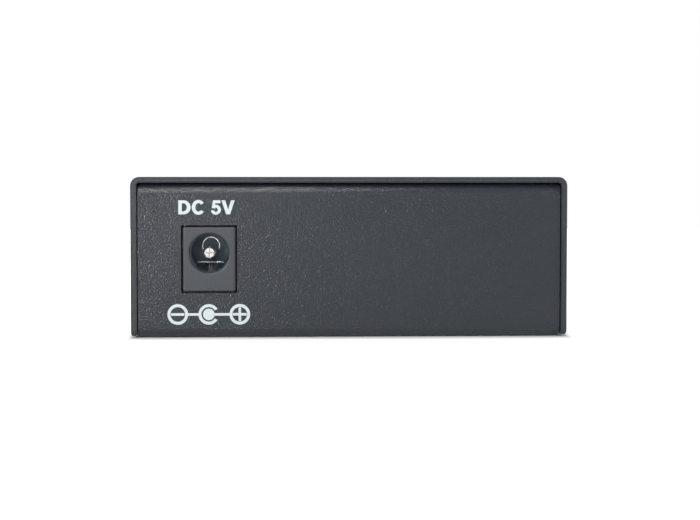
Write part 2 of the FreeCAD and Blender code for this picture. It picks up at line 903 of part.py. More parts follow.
def make_jack_spring():
    """The sleeve contact: a strip that rises to a crest under the pin, with its tail through the board."""
    body = new_body("power_socket_sleeve_spring")
    tip = jack_y - size.spring_front
    crest = jack_y - size.spring_crest
    root = jack_y - size.spring_root
    tip_z = jack_z - size.spring_front_drop
    crest_z = jack_z - size.spring_crest_drop
    root_z = jack_z - size.spring_root_drop
    strip = new_sketch(body, "yz", at=jack_x - size.spring_width / 2)
    polygon(
        strip,
        [
            (tip, tip_z),
            (crest, crest_z),
            (root + size.spring_flat, root_z),
            (root - size.spring_sheet, root_z),
            (root - size.spring_sheet, board_top),
            (root, board_top),
            (root, root_z - size.spring_sheet),
            (root + size.spring_flat, root_z - size.spring_sheet),
            (crest, crest_z - size.spring_sheet),
            (tip, tip_z - size.spring_sheet),
        ],
    )
    extrude(body, strip, size.spring_width)
    dress(body, "Fillet", size.spring_sheet * 4, lambda p, w: near(p.y, crest) and near(p.z, crest_z))
    dress(
        body,
        "Fillet",
        size.spring_sheet * 3,
        lambda p, w: near(p.y, crest) and near(p.z, crest_z - size.spring_sheet),
    )
    narrow = new_sketch(body, "yz", at=jack_x - size.spring_width)
    polygon(
        narrow,
        [
            (root + size.spring_sheet, board_top - PAST),
            (root - size.spring_sheet * 2, board_top - PAST),
            (root - size.spring_sheet * 2, jack_z - size.spring_channel_drop),
            (root + size.spring_sheet, jack_z - size.spring_channel_drop),
        ],
    )
    extrude(body, narrow, size.spring_width * 2, cut=True)
    tail = new_sketch(body, "xy", at=tail_end)
    rectangle(tail, jack_x, spring_tail_y, size.terminal_width, size.spring_sheet)
    extrude(body, tail, jack_z - size.spring_channel_drop - tail_end)


def make_jack_switch():
    """The contact under the spring's free end, which opens when a plug presses the spring down."""
    top = jack_z - size.spring_front_drop - size.spring_sheet - size.terminal_sheet
    width, sheet = size.terminal_width, size.terminal_sheet
    post = centred_box(jack_x, switch_tail_y, tail_end, width, sheet, top - tail_end)
    pad = centred_box(jack_x, switch_tail_y, top, width, sheet * 4, sheet)
    keep("power_socket_switch_contact", fuse(post, pad))


def make_jack_terminal():
    """The plate that the pin is riveted to, behind the housing."""
    plate = box(
        jack_x - size.terminal_width / 2,
        jack_back - size.terminal_sheet,
        tail_end,
        size.terminal_width,
        size.terminal_sheet,
        jack_z + size.terminal_rise - tail_end,
    )
    hole = rod(jack_x, jack_back - size.terminal_sheet, jack_z, size.pin_tail_radius, size.terminal_sheet, "y")
    keep("power_socket_pin_terminal", cut(plate, hole))


# ---- The network socket ----


def net_contact_offsets():
    """Where the eight contacts stand, across the socket."""
    return [(k - 3.5) * size.net_contact_pitch for k in range(8)]


def net_tails():
    """Centre, width and depth of the slots for the eight contact tails, in two staggered rows."""
    tails = []
    for k, offset in enumerate(net_contact_offsets()):
        y = net_tail_y - (k % 2) * size.net_contact_pitch * 2
        tails.append((net_x + offset, y, size.net_contact_width, size.net_contact_sheet))
    return tails


def net_tabs():
    """Centre, width and depth of the slots for the shield's two side tabs."""
    reach = (size.net_width - size.net_shield) / 2
    y = net_y + size.net_tab_setback
    return [(net_x + side * reach, y, size.net_shield, size.net_tab_width) for side in (1, -1)]


def make_net_housing():
    """The moulded body, with the plug's opening, its stepped latch slot and the channels of the contacts."""
    body = new_body("network_socket_housing")
    wide = size.net_width - size.net_shield * 2
    high = size.net_height - size.net_shield
    block = new_sketch(body, "xz", at=net_y + size.net_shield)
    rectangle(block, net_x, board_top + high / 2, wide, high)
    extrude(body, block, size.net_length - size.net_shield * 2)
    opening = new_sketch(body, "xz", at=net_y - PAST)
    stepped_opening(opening, 0)
    extrude(body, opening, size.net_opening_depth + PAST, cut=True)
    slot_start = net_y + size.net_contact_front - size.net_slot_lead
    slot_width = size.net_contact_width + size.net_slot_gap * 2
    slots = new_sketch(body, "xz", at=slot_start)
    for offset in net_contact_offsets():
        rectangle(
            slots,
            net_x + offset,
            net_opening_top + size.net_contact_sheet / 2,
            slot_width,
            size.net_contact_sheet * 3,
        )
    extrude(body, slots, net_tail_y + size.net_contact_sheet * 2 - slot_start, cut=True)
    shaft = new_sketch(body, "xy", at=board_top)
    rectangle(
        shaft,
        net_x,
        net_tail_y - size.net_contact_pitch,
        size.net_contact_pitch * 7 + slot_width,
        size.net_contact_pitch * 2 + size.net_contact_sheet + size.net_slot_gap * 2,
    )
    extrude(body, shaft, net_opening_top - board_top + size.net_contact_sheet * 2, cut=True)


def stepped_opening(sketch, grow):
    """The plug's outline: a wide mouth over a latch slot and a narrower key slot."""
    half, latch, key = size.net_opening_width / 2, size.net_latch_width / 2, size.net_key_width / 2
    low = net_opening_low - grow
    latch_low = low - size.net_latch_drop
    key_low = latch_low - size.net_key_drop
    right = [
        (half, net_opening_top + grow),
        (half, low),
        (latch, low),
        (latch, latch_low),
        (key, latch_low),
        (key, key_low),
    ]
    corners = [(net_x + x + grow, z) for x, z in right]
    corners += [(net_x - x - grow, z) for x, z in reversed(right)]
    polygon(sketch, corners)


def make_net_shield():
    """The tin cover round the front, top, sides and back of the socket, with two tabs into the board."""
    body = new_body("network_socket_shield")
    outer = new_sketch(body, "xz", at=net_y)
    rectangle(outer, net_x, board_top + size.net_height / 2, size.net_width, size.net_height)
    extrude(body, outer, size.net_length)
    inner = new_sketch(body, "xz", at=net_y + size.net_shield)
    rectangle(
        inner,
        net_x,
        board_top + (size.net_height - size.net_shield - PAST) / 2,
        size.net_width - size.net_shield * 2,
        size.net_height - size.net_shield + PAST,
    )
    extrude(body, inner, size.net_length - size.net_shield * 2, cut=True)
    window = new_sketch(body, "xz", at=net_y - PAST)
    stepped_opening(window, size.net_shield)
    extrude(body, window, size.net_shield + PAST, cut=True)
    tabs = new_sketch(body, "xy", at=tail_end)
    for x, y, width, depth in net_tabs():
        rectangle(tabs, x, y, width, depth)
    extrude(body, tabs, board_top - tail_end + size.net_shield)


def make_net_contacts():
    """Eight spring wires: over the roof, back and down into the mouth, with tails through the board."""
    sheet = size.net_contact_sheet
    wires = []
    for k, (x, tail_y, width, depth) in enumerate(net_tails()):
        body = doc.addObject("PartDesign::Body", f"Wire{k}")
        front = net_y + size.net_contact_front
        roof = net_opening_top + sheet * 2
        tail_back = tail_y + sheet / 2
        tail_front = tail_y - sheet / 2
        end = front + size.net_contact_reach
        fall = net_opening_top - size.net_contact_fall
        strip = new_sketch(body, "yz", at=x - size.net_contact_width / 2)
        polygon(
            strip,
            [
                (front, roof),
                (front, roof - sheet * 1.4),
                (end, fall - sheet),
                (end, fall),
                (front + sheet * 2, roof - sheet),
                (tail_front, roof - sheet),
                (tail_front, tail_end),
                (tail_back, tail_end),
                (tail_back, roof),
            ],
        )
        extrude(body, strip, size.net_contact_width)
        wires.append(body)
    keep("network_socket_contacts", *wires)


# ---- The fibre transceiver ----


def fibre_pin_places():
    return [fibre_x + k * size.fibre_pin_pitch for k in range(-4, 5)]


def fibre_post_places():
    return [fibre_x + side * size.fibre_post_spread / 2 for side in (1, -1)]


def fibre_tails():
    """Centre, width and depth of the holes for the transceiver's nine pins and two posts."""
    pins = [(x, fibre_pin_y, size.fibre_pin_side, size.fibre_pin_side) for x in fibre_pin_places()]
    posts = [(x, fibre_post_y, size.fibre_post_side, size.fibre_post_side) for x in fibre_post_places()]
    return pins + posts


def make_fibre_housing():
    """The transceiver's moulded body: two keyed ports in the nose, a shoulder and a plain rear block."""
    body = new_body("fibre_transceiver_housing")
    block = new_sketch(body, "xz", at=fibre_y)
    rectangle(block, fibre_x, board_top + size.fibre_height / 2, size.fibre_width, size.fibre_height)
    extrude(body, block, size.fibre_length)
    step = new_sketch(body, "yz", at=fibre_x - size.fibre_width)
    shoulder_y = fibre_y + size.fibre_shoulder
    fibre_top = board_top + size.fibre_height
    polygon(
        step,
        [
            (shoulder_y, fibre_top - size.fibre_shoulder_step),
            (fibre_back + PAST, fibre_top - size.fibre_shoulder_step),
            (fibre_back + PAST, fibre_top + PAST),
            (shoulder_y, fibre_top + PAST),
        ],
    )
    extrude(body, step, size.fibre_width * 2, cut=True)
    dress(body, "Chamfer", size.fibre_edge, lambda p, w: runs(w, 2) or (runs(w, 1) and p.z > number(fibre_z)))
    ports = new_sketch(body, "xz", at=fibre_y - PAST)
    for _, side in FIBRE_SIDES:
        keyed_port(ports, fibre_x + side * size.fibre_pitch / 2)
    extrude(body, ports, size.fibre_port_depth + PAST, cut=True)
    barrels = new_sketch(body, "xz", at=fibre_y)
    for _, side in FIBRE_SIDES:
        circle(barrels, fibre_x + side * size.fibre_pitch / 2, fibre_z, size.barrel_radius)
    extrude(body, barrels, size.fibre_port_depth + size.barrel_tail, cut=True)
    posts = new_sketch(body, "xy", at=tail_end)
    for x in fibre_post_places():
        rectangle(posts, x, fibre_post_y, size.fibre_post_side, size.fibre_post_side)
    extrude(body, posts, size.board_thickness + size.tail_length)


def keyed_port(sketch, x):
    """A port's outline with the key slot in its roof."""
    half, key = size.fibre_port_width / 2, size.fibre_key_width / 2
    top, low = fibre_z + size.fibre_port_height / 2, fibre_z - size.fibre_port_height / 2
    polygon(
        sketch,
        [
            (x - half, low),
            (x + half, low),
            (x + half, top),
            (x + key, top),
            (x + key, top + size.fibre_key_height),
            (x - key, top + size.fibre_key_height),
            (x - key, top),
            (x - half, top),
        ],
    )


def make_fibre_latches():
    """In each port, a plate at the back with two hooked arms that hold the plug."""
    back = fibre_y + size.fibre_port_depth
    for name, side in FIBRE_SIDES:
        x = fibre_x + side * size.fibre_pitch / 2
        body = new_body(f"fibre_{name}_latch")
        plate = new_sketch(body, "xz", at=back - size.latch_plate)
        rectangle(plate, x, fibre_z, size.fibre_port_width, size.fibre_port_height)
        circle(plate, x, fibre_z, size.barrel_radius)
        extrude(body, plate, size.latch_plate)
        arms = new_sketch(body, "xy", at=fibre_z - size.latch_arm_height / 2)
        tip = back - size.latch_plate - size.latch_arm_length
        for mirror in (1, -1):
            outer = x + mirror * (size.fibre_port_width / 2 - size.latch_side_gap)
            inner = outer - mirror * size.latch_arm_sheet
            hook = inner - mirror * size.latch_hook
            polygon(
                arms,
                [
                    (outer, back - size.latch_plate / 2),
                    (outer, tip),
                    (inner, tip),
                    (hook, tip + size.latch_hook),
                    (hook, tip + size.latch_hook * 2),
                    (inner, tip + size.latch_hook * 2),
                    (inner, back - size.latch_plate / 2),
                ],
            )
        extrude(body, arms, size.latch_arm_height)


def make_fibre_barrels():
    """The sleeves that the plugs' ferrules go into."""
    for name, side in FIBRE_SIDES:
        x = fibre_x + side * size.fibre_pitch / 2
        tip = fibre_y + size.barrel_recess
        length = size.fibre_port_depth + size.barrel_tail - size.barrel_recess
        barrel = rod(x, tip, fibre_z, size.barrel_radius, length, "y")
        bore = rod(x, tip, fibre_z, size.barrel_bore_radius, length - size.barrel_floor, "y")
        keep(f"fibre_{name}_barrel", cut(barrel, bore))


def make_fibre_pins():
    side = size.fibre_pin_side
    height = size.board_thickness + size.tail_length
    pins = [centred_box(x, fibre_pin_y, tail_end, side, side, height) for x in fibre_pin_places()]
    keep("fibre_transceiver_pins", *pins)


# ---- The indicator lamps ----


def lamp_places():
    """Centres of the lamps on the front panel, column by column from the network socket outwards."""
    return [
        (lamp_x - column * size.lamp_pitch_x, lamp_z + row * size.lamp_pitch_z)
        for column in range(2)
        for row in range(3)
    ]


def lamp_lead_y(row):
    """Higher lamps have their leads further back, clear of those below."""
    return holder_back + (1 + row) * size.lamp_lead_step


def lamp_tails():
    """Centre, width and depth of the slots for the lamps' leads."""
    tails = []
    for index, (x, _) in enumerate(lamp_places()):
        y = lamp_lead_y(index % 3)
        for side in (1, -1):
            tails.append((x + side * size.lamp_lead_spread, y, size.lamp_lead, size.lamp_lead))
    return tails


def make_lamp_holder():
    """The black block that stands on the board and holds the lamps in line with their windows."""
    body = new_body("lamp_holder")
    block = new_sketch(body, "xz", at=holder_front)
    width = size.lamp_pitch_x + size.lamp_width + size.holder_wall * 2
    height = size.lamp_first_rise + size.lamp_pitch_z * 2 + size.lamp_height / 2 + size.holder_wall
    rectangle(block, lamp_x - size.lamp_pitch_x / 2, board_top + height / 2, width, height)
    extrude(body, block, size.holder_depth)
    pockets = new_sketch(body, "xz", at=holder_front)
    passages = new_sketch(body, "xz", at=holder_front)
    for x, z in lamp_places():
        rectangle(pockets, x, z, size.lamp_width, size.lamp_height)
        rectangle(passages, x, z, size.lamp_lead_spread * 2 + size.lamp_lead, size.lamp_lead * 2)
    extrude(body, pockets, lamp_back - holder_front, cut=True)
    extrude(body, passages, size.holder_depth, cut=True)


def make_lamps():
    """Each lamp is a flat-fronted block of clear resin with two bent leads."""
    side_of_lead = size.lamp_lead
    for index, (x, z) in enumerate(lamp_places()):
        middle = lamp_tip + size.lamp_length / 2
        low = z - size.lamp_height / 2
        body = centred_box(x, middle, low, size.lamp_width, size.lamp_length, size.lamp_height)
        leads = []
        y = lamp_lead_y(index % 3)
        for side in (1, -1):
            left = x + side * size.lamp_lead_spread - side_of_lead / 2
            run = y + side_of_lead / 2 - lamp_back
            drop = z + side_of_lead / 2 - tail_end
            leads.append(box(left, lamp_back, z - side_of_lead / 2, side_of_lead, run, side_of_lead))
            leads.append(box(left, y - side_of_lead / 2, tail_end, side_of_lead, side_of_lead, drop))
        keep(f"lamp_{index + 1}", fuse(body, *leads))


# ---- Parts on the board ----


def flat_leads(x, y, count, pitch, package, along_y):
    """Flat leads on the board along two sides of a package of a given width."""
    foot, width, sheet = size.lead_reach, size.lead_width, size.lead_sheet
    leads = []
    for side in (1, -1):
        reach = side * (package + foot) / 2
        for k in range(count):
            step = (k - (count - 1) / 2) * pitch
            if along_y:
                leads.append(centred_box(x + reach, y + step, board_top, foot, width, sheet))
            else:
                leads.append(centred_box(x + step, y + reach, board_top, width, foot, sheet))
    return leads


def make_line_transformer():
    coil = centred_box(net_x, coil_y, board_top, size.coil_width, size.coil_depth, size.coil_height)
    keep("line_transformer", coil)
    leads = flat_leads(net_x, coil_y, 8, size.coil_lead_pitch, size.coil_depth, False)
    keep("line_transformer_leads", *leads)


def make_converter_chip():
    body = new_body("converter_chip")
    outline = new_sketch(body, "xy", at=board_top)
    rectangle(outline, chip_x, size.chip_place, size.chip_side, size.chip_side)
    extrude(body, outline, size.chip_height)
    dress(body, "Chamfer", size.chip_height / 4, lambda p, w: near(p.z, board_top + size.chip_height))
    leads = []
    for along_y in (False, True):
        leads += flat_leads(chip_x, size.chip_place, 8, size.chip_lead_pitch, size.chip_side, along_y)
    keep("converter_chip_leads", *leads)


def make_memory_chip():
    width, length, height = size.memory_width, size.memory_length, size.memory_height
    keep("memory_chip", centred_box(memory_x, size.chip_place, board_top, width, length, height))
    leads = flat_leads(memory_x, size.chip_place, 4, size.memory_pitch, width, True)
    keep("memory_chip_leads", *leads)


def make_crystal():
    body = new_body("crystal_can")
    outline = new_sketch(body, "xy", at=board_top)
    rectangle(outline, chip_x, crystal_y, size.crystal_length, size.crystal_width)
    extrude(body, outline, size.crystal_height)
    dress(body, "Chamfer", size.crystal_width / 3, lambda p, w: runs(w, 2))


def make_supply_parts():
    """The fuse, choke, regulator and smoothing capacitors behind the power socket."""
    choke = new_body("power_choke")
    outline = new_sketch(choke, "xy", at=board_top)
    rectangle(outline, jack_x, supply_y, size.inductor_side, size.inductor_side)
    extrude(choke, outline, size.inductor_height)
    dress(choke, "Chamfer", size.inductor_corner, lambda p, w: runs(w, 2))
    fuse_x = jack_x - size.inductor_side - size.fuse_length / 2
    keep(
        "input_fuse",
        centred_box(fuse_x, supply_y, board_top, size.fuse_length, size.fuse_width, size.fuse_height),
    )
    for index in (1, 2):
        make_capacitor(index, fuse_x - index * size.capacitor_pitch, supply_y)
    regulator_y = supply_y - size.inductor_side / 2 - size.regulator_width * 2
    slab = centred_box(
        jack_x, regulator_y, board_top, size.regulator_length, size.regulator_width, size.regulator_height
    )
    tab = centred_box(
        jack_x,
        regulator_y + size.regulator_width / 2 + size.lead_reach / 2,
        board_top,
        size.regulator_tab,
        size.lead_reach,
        size.lead_sheet,
    )
    legs = [
        centred_box(
            jack_x + k * size.regulator_length / 3,
            regulator_y - size.regulator_width / 2 - size.lead_reach / 2,
            board_top,
            size.lead_width * 2,
            size.lead_reach,
            size.lead_sheet,
        )
        for k in (-1, 0, 1)
    ]
    keep("voltage_regulator", slab)
    keep("voltage_regulator_leads", tab, *legs)


def make_capacitor(index, x, y):
    """A can on its moulded base."""
    side = size.capacitor_radius * 2
    keep(f"capacitor_{index}_base", centred_box(x, y, board_top, side, side, size.capacitor_base))
    can = rod(x, y, board_top + size.capacitor_base, size.capacitor_radius, size.capacitor_height)
    keep(f"capacitor_{index}_can", can)


def make_chip_parts():
    """Small resistors and capacitors in two rows beside the converter chip."""
    length, width, height = size.chip_part_length, size.chip_part_width, size.chip_part_height
    parts = []
    for row in range(2):
        for k in range(6):
            x = chip_x + size.chip_side / 2 + (2 + row) * size.chip_part_pitch
            y = size.chip_place + (k - 2.5) * size.chip_part_pitch
            parts.append(centred_box(x, y, board_top, length, width, height))
    keep("chip_resistors", *parts)


def save_pieces():
    """Checks every object, then writes each piece to its own file."""
    doc.recompute()
    for thing in doc.Objects:
        if "Invalid" in thing.State or "Error" in thing.State:
            raise RuntimeError(f"{thing.Name} ({thing.Label}) failed: {thing.State}")
    for piece in pieces:
        shape = piece.Shape
        if shape.isNull() or not shape.isValid() or not shape.Solids:
            raise RuntimeError(f"{piece.Label} has no sound solid")
    os.makedirs("parts", exist_ok=True)
    for piece in pieces:
        piece.Shape.exportStep(f"parts/{piece.Label}.step")


fill_table()
make_top_cover()
make_base_tray()
make_cover_screws()
make_standoffs()
make_board_screws()
make_circuit_board()
make_jack_housing()
make_jack_pin()
make_jack_spring()
make_jack_switch()
make_jack_terminal()
make_net_housing()
make_net_shield()
make_net_contacts()
make_fibre_housing()
make_fibre_latches()
make_fibre_barrels()
make_fibre_pins()
make_lamp_holder()
make_lamps()
make_line_transformer()
make_converter_chip()
make_memory_chip()
make_crystal()
make_supply_parts()
make_chip_parts()
save_pieces()
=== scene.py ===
"""Looks for a small fibre media converter: its case, sockets, lamps, screws, board and printed marks."""

import math

import bmesh
import bpy
from bpy.props import FloatProperty, FloatVectorProperty, PointerProperty
from bpy.types import Operator, Panel, PropertyGroup
from mathutils import Matrix, Vector


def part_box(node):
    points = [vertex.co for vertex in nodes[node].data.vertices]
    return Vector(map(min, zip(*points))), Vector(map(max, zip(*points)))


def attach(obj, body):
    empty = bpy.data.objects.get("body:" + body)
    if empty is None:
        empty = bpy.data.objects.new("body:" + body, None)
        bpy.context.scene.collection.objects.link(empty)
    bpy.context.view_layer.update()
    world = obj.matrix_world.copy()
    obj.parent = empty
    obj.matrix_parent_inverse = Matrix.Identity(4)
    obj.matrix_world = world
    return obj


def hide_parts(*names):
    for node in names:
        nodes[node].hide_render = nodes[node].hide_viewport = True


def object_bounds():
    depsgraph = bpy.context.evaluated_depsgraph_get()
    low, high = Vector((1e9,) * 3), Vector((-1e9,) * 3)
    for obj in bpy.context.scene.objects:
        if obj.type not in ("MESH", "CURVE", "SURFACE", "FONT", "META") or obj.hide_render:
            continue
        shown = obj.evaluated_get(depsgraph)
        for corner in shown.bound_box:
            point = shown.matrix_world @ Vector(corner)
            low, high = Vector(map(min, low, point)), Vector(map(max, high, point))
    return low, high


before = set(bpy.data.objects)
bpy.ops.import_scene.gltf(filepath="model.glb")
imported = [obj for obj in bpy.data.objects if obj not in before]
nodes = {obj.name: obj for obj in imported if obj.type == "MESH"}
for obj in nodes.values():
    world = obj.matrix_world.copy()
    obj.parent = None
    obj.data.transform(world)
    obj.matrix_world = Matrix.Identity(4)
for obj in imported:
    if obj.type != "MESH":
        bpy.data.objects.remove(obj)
cad_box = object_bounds()

bl_info = {
    "name": "Fibre media converter",
    "version": (1, 0, 0),
    "blender": (4, 5, 0),
    "location": "3D View > Sidebar > Converter",
    "description": "Dresses the case, sockets, lamps and board of a small fibre media converter",
    "category": "Object",
}

MM = 0.001
BODY = "root"
COPIES = "Copies on points"
QUARTERS = ((1, 0), (0, 1), (-1, 0), (0, -1))
LAMPS = [f"lamp_{k}" for k in range(1, 7)]
CAPACITORS = ("capacitor_1_base", "capacitor_2_base")
TIN = (0.72, 0.72, 0.71)
SMOOTH_ANGLE = math.radians(35)
EDGE_ANGLE = math.radians(40)
WELD_REACH = 0.001 * MM
HAIR = 0.005 * MM  # sets a print off the face under it
TAIL_END = 0.1 * MM  # how much of a tail is its end

# ---- Places read from the frame ----

panel_low, panel_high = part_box("base_tray")
jack_low, jack_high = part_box("power_socket_housing")
pin_low, pin_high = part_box("power_socket_pin")
spring_low, spring_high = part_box("power_socket_sleeve_spring")
jack_x = (jack_low.x + jack_high.x) / 2
jack_z = (pin_low.z + pin_high.z) / 2
board_low, board_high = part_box("circuit_board")


# ---- Nodes for shaders and geometry ----


def add_node(tree, kind, settings=None, inputs=None):
    """Adds a node, sets its options, and then fills its sockets with values or links."""
    node = tree.nodes.new(kind)
    for name, value in (settings or {}).items():
        setattr(node, name, value)
    for name, value in (inputs or {}).items():
        join(tree, value, node.inputs[name])
    return node


def join(tree, value, socket):
    """Puts a value into a socket, or links it where the value is a socket or a Wire."""
    if isinstance(value, Wire):
        value = value.socket
    if isinstance(value, bpy.types.NodeSocket):
        tree.links.new(value, socket)
    else:
        socket.default_value = value


class Wire:
    """A shader socket that carries a number, and that Python's operators can reckon with."""

    def __init__(self, tree, socket):
        self.tree = tree
        self.socket = socket

    def reckon(self, operation, first, second):
        """The result of a Math node, as a new Wire."""
        node = add_node(self.tree, "ShaderNodeMath", {"operation": operation}, {0: first, 1: second})
        return Wire(self.tree, node.outputs[0])

    def __add__(self, other):
        return self.reckon("ADD", self, other)

    def __sub__(self, other):
        return self.reckon("SUBTRACT", self, other)

    def __rsub__(self, other):
        return self.reckon("SUBTRACT", other, self)

    def __mul__(self, other):
        return self.reckon("MULTIPLY", self, other)

    def __abs__(self):
        return self.reckon("ABSOLUTE", self, 0.0)

    __radd__ = __add__
    __rmul__ = __mul__


class Finish:
    """One material: its shader, and the patterns that its colour, roughness and relief come from."""

    def __init__(self, name, colour, roughness, metallic=0.0, **fixed):
        self.material = bpy.data.materials.new(name)
        self.material.use_nodes = True
        self.tree = self.material.node_tree
        self.shader = self.tree.nodes["Principled BSDF"]
        self.place = self.node("ShaderNodeTexCoord").outputs["Object"]
        self.set("Base Color", (*colour[:3], 1.0))
        self.set("Roughness", roughness)
        self.set("Metallic", metallic)
        for socket, value in fixed.items():
            self.set(socket.replace("_", " "), value)

    def node(self, kind, settings=None, inputs=None):
        """A new node in the material's tree."""
        return add_node(self.tree, kind, settings, inputs)

    def wire(self, kind, settings, inputs, output=0):
        """One output of a new node, as a Wire."""
        return Wire(self.tree, self.node(kind, settings, inputs).outputs[output])

    def set(self, socket, value):
        """Gives one of the shader's own sockets a value or a link."""
        join(self.tree, value, self.shader.inputs[socket])

    def noise(self, size, detail=2.0, stretch=(1.0, 1.0, 1.0)):
        """Soft noise whose lumps are about a given size in metres, stretched along the axes."""
        mapping = self.node("ShaderNodeMapping", None, {"Vector": self.place, "Scale": stretch})
        look = {"Vector": mapping.outputs[0], "Scale": 1 / size, "Detail": detail, "Roughness": 0.6}
        return self.wire("ShaderNodeTexNoise", None, look, "Fac")

    def cells(self, size):
        """The distance from the middles of cells about a given size in metres."""
        look = {"Vector": self.place, "Scale": 1 / size}
        return self.wire("ShaderNodeTexVoronoi", None, look, "Distance")

    def axis(self, name, vector=None):
        """One axis of a vector, or of the place in metres where no vector is given."""
        source = self.place if vector is None else vector
        return self.wire("ShaderNodeSeparateXYZ", None, {0: source}, name)

    def tracks(self, length, pitch, width):
        """Square-cornered lines of a width, a pitch apart, joined across now and then."""
        order = {"offset": 0.37, "offset_frequency": 3, "squash": 0.6, "squash_frequency": 2}
        look = {"Vector": self.place, "Scale": 1.0, "Brick Width": length, "Row Height": pitch}
        look |= {"Mortar Size": width / 2, "Mortar Smooth": 0.2}
        return self.wire("ShaderNodeTexBrick", order, look, "Fac")

    def off_line(self, x, z):
        """The distance in metres from a line that runs along y."""
        result = self.place
        for operation, second in (("SUBTRACT", (x, 0.0, z)), ("MULTIPLY", (1.0, 0.0, 1.0))):
            node = self.node("ShaderNodeVectorMath", {"operation": operation}, {0: result, 1: second})
            result = node.outputs["Vector"]
        return self.wire("ShaderNodeVectorMath", {"operation": "LENGTH"}, {0: result}, "Value")

    def between(self, wire, low, high, to_low=0.0, to_high=1.0):
        """A wire's range moved to another, and held there."""
        ends = {"Value": wire, "From Min": low, "From Max": high, "To Min": to_low, "To Max": to_high}
        return self.wire("ShaderNodeMapRange", {"clamp": True}, ends)

    def blend(self, share, first, second):
        """One colour turned into another by a share."""
        node = self.node("ShaderNodeMix", {"data_type": "RGBA"}, {"Factor": share})
        for socket, colour in ((node.inputs[6], first), (node.inputs[7], second)):
            linked = isinstance(colour, (Wire, bpy.types.NodeSocket))
            join(self.tree, colour if linked else (*colour[:3], 1.0), socket)
        return node.outputs[2]

    def relief(self, height, depth):
        """Raises the surface by a wire, over a depth in metres."""
        node = self.node("ShaderNodeBump", None, {"Height": height, "Strength": 1.0, "Distance": depth})
        self.set("Normal", node.outputs[0])


def tint(colour, factor):
    """A colour made lighter or darker."""
    return tuple(min(1.0, channel * factor) for channel in colour[:3])


# ---- Finishes ----


def powder_coat(name, look, roughness):
    """Powder coat: close glossy grain, pale flecks and a slightly uneven tone."""
    colour, swing = look.coat_colour, 0.06
    finish = Finish(name, colour, roughness, Specular_IOR_Level=0.5)
    grain = finish.noise(look.grain_size)
    beads = finish.cells(look.grain_size)
    cloud = finish.noise(12 * MM)
    fleck = finish.between(finish.noise(look.grain_size * 0.7, 1.0), 0.62, 0.74)
    base = finish.blend(cloud, tint(colour, 0.9), tint(colour, 1.1))
    finish.set("Base Color", finish.blend(fleck * look.fleck, base, tint(colour, 3.0)))
    finish.set("Roughness", finish.between(grain, 0.35, 0.65, roughness + swing, roughness - swing))
    finish.relief(grain * 0.4 - beads * beads, look.grain_depth)
    return finish.material


def moulded_plastic(name, colour, roughness=0.45, grain=0.12 * MM, depth=0.006 * MM):
    """Moulded plastic with the faint spark grain of its tool."""
    finish = Finish(name, colour, roughness)
    cloud = finish.noise(3 * MM)
    finish.set("Base Color", finish.blend(cloud, tint(colour, 0.93), tint(colour, 1.07)))
    finish.set("Roughness", finish.between(cloud, 0.3, 0.7, roughness - 0.05, roughness + 0.06))
    finish.relief(finish.noise(grain), depth)
    return finish.material


def plated_metal(name, colour, roughness=0.22, stretch=(1.0, 1.0, 1.0), grain=0.3 * MM):
    """Plated metal with fine drawing lines and slight clouding."""
    finish = Finish(name, colour, roughness, 1.0)
    lines = finish.noise(grain, 3.0, stretch)
    cloud = finish.noise(2.5 * MM)
    finish.set("Base Color", finish.blend(cloud, tint(colour, 0.9), tint(colour, 1.04)))
    finish.set("Roughness", finish.between(lines, 0.3, 0.7, roughness - 0.06, roughness + 0.1))
    finish.relief(lines, 0.004 * MM)
    return finish.material


def clear_resin(name, colour, lead_start):
    """Tinted resin with a frosted skin, and the tinned leads that come out behind it."""
    finish = Finish(name, colour, 0.22, 0.0, Transmission_Weight=0.3, IOR=1.5)
    cloud = finish.noise(1.2 * MM, 1.0)
    lead = finish.between(finish.axis("Y"), lead_start, lead_start + 0.01 * MM)
    body = finish.blend(cloud, tint(colour, 0.8), tint(colour, 1.15))
    finish.set("Base Color", finish.blend(lead, body, TIN))
    finish.set("Metallic", lead)
    finish.set("Roughness", finish.between(cloud, 0.3, 0.7, 0.15, 0.35))
    finish.relief(finish.noise(0.25 * MM, 1.0), 0.012 * MM)
    return finish.material


def laminate(name, colour, edge_colour):
    """Solder mask over a glass laminate, with the copper tracks' relief and the sawn edge."""
    finish = Finish(name, colour, 0.32)
    thread_size = 0.5 * MM
    warp = finish.noise(thread_size, 1.0, (4.0, 1.0, 1.0))
    weft = finish.noise(thread_size, 1.0, (1.0, 4.0, 1.0))
    copper = finish.tracks(length=9 * MM, pitch=1.5 * MM, width=0.16 * MM)
    normal = finish.node("ShaderNodeNewGeometry").outputs["True Normal"]
    sawn = finish.between(abs(finish.axis("Z", normal)), 0.6, 0.5)
    masked = finish.blend(copper, colour, tint(colour, 1.9))
    finish.set("Base Color", finish.blend(sawn, masked, edge_colour))
    finish.relief(warp * weft * 0.3 + copper * 0.7, 0.02 * MM)
    return finish.material


def printed_ink(name, colour):
    """Screen ink, a little thin over the grain below it."""
    finish = Finish(name, colour, 0.5)
    thin = finish.noise(0.22 * MM)
    finish.set("Base Color", finish.blend(finish.between(thin, 0.35, 0.6), tint(colour, 0.86), colour))
    finish.relief(thin, 0.01 * MM)
    return finish.material


def dress(material, *names):
    """Gives CAD nodes a material."""
    for name in names:
        for slot in nodes[name].material_slots:
            slot.material = material


def round_edges(width, *names):
    """Joins a CAD node's loose faces and takes the sharpness off its edges."""
    for name in names:
        weld = nodes[name].modifiers.new("Join faces", "WELD")
        weld.merge_threshold = WELD_REACH
        bevel = nodes[name].modifiers.new("Soft edges", "BEVEL")
        bevel.width = width
        bevel.segments = 2
        bevel.limit_method = "ANGLE"
        bevel.angle_limit = EDGE_ANGLE
        bevel.harden_normals = True


# ---- Meshes ----


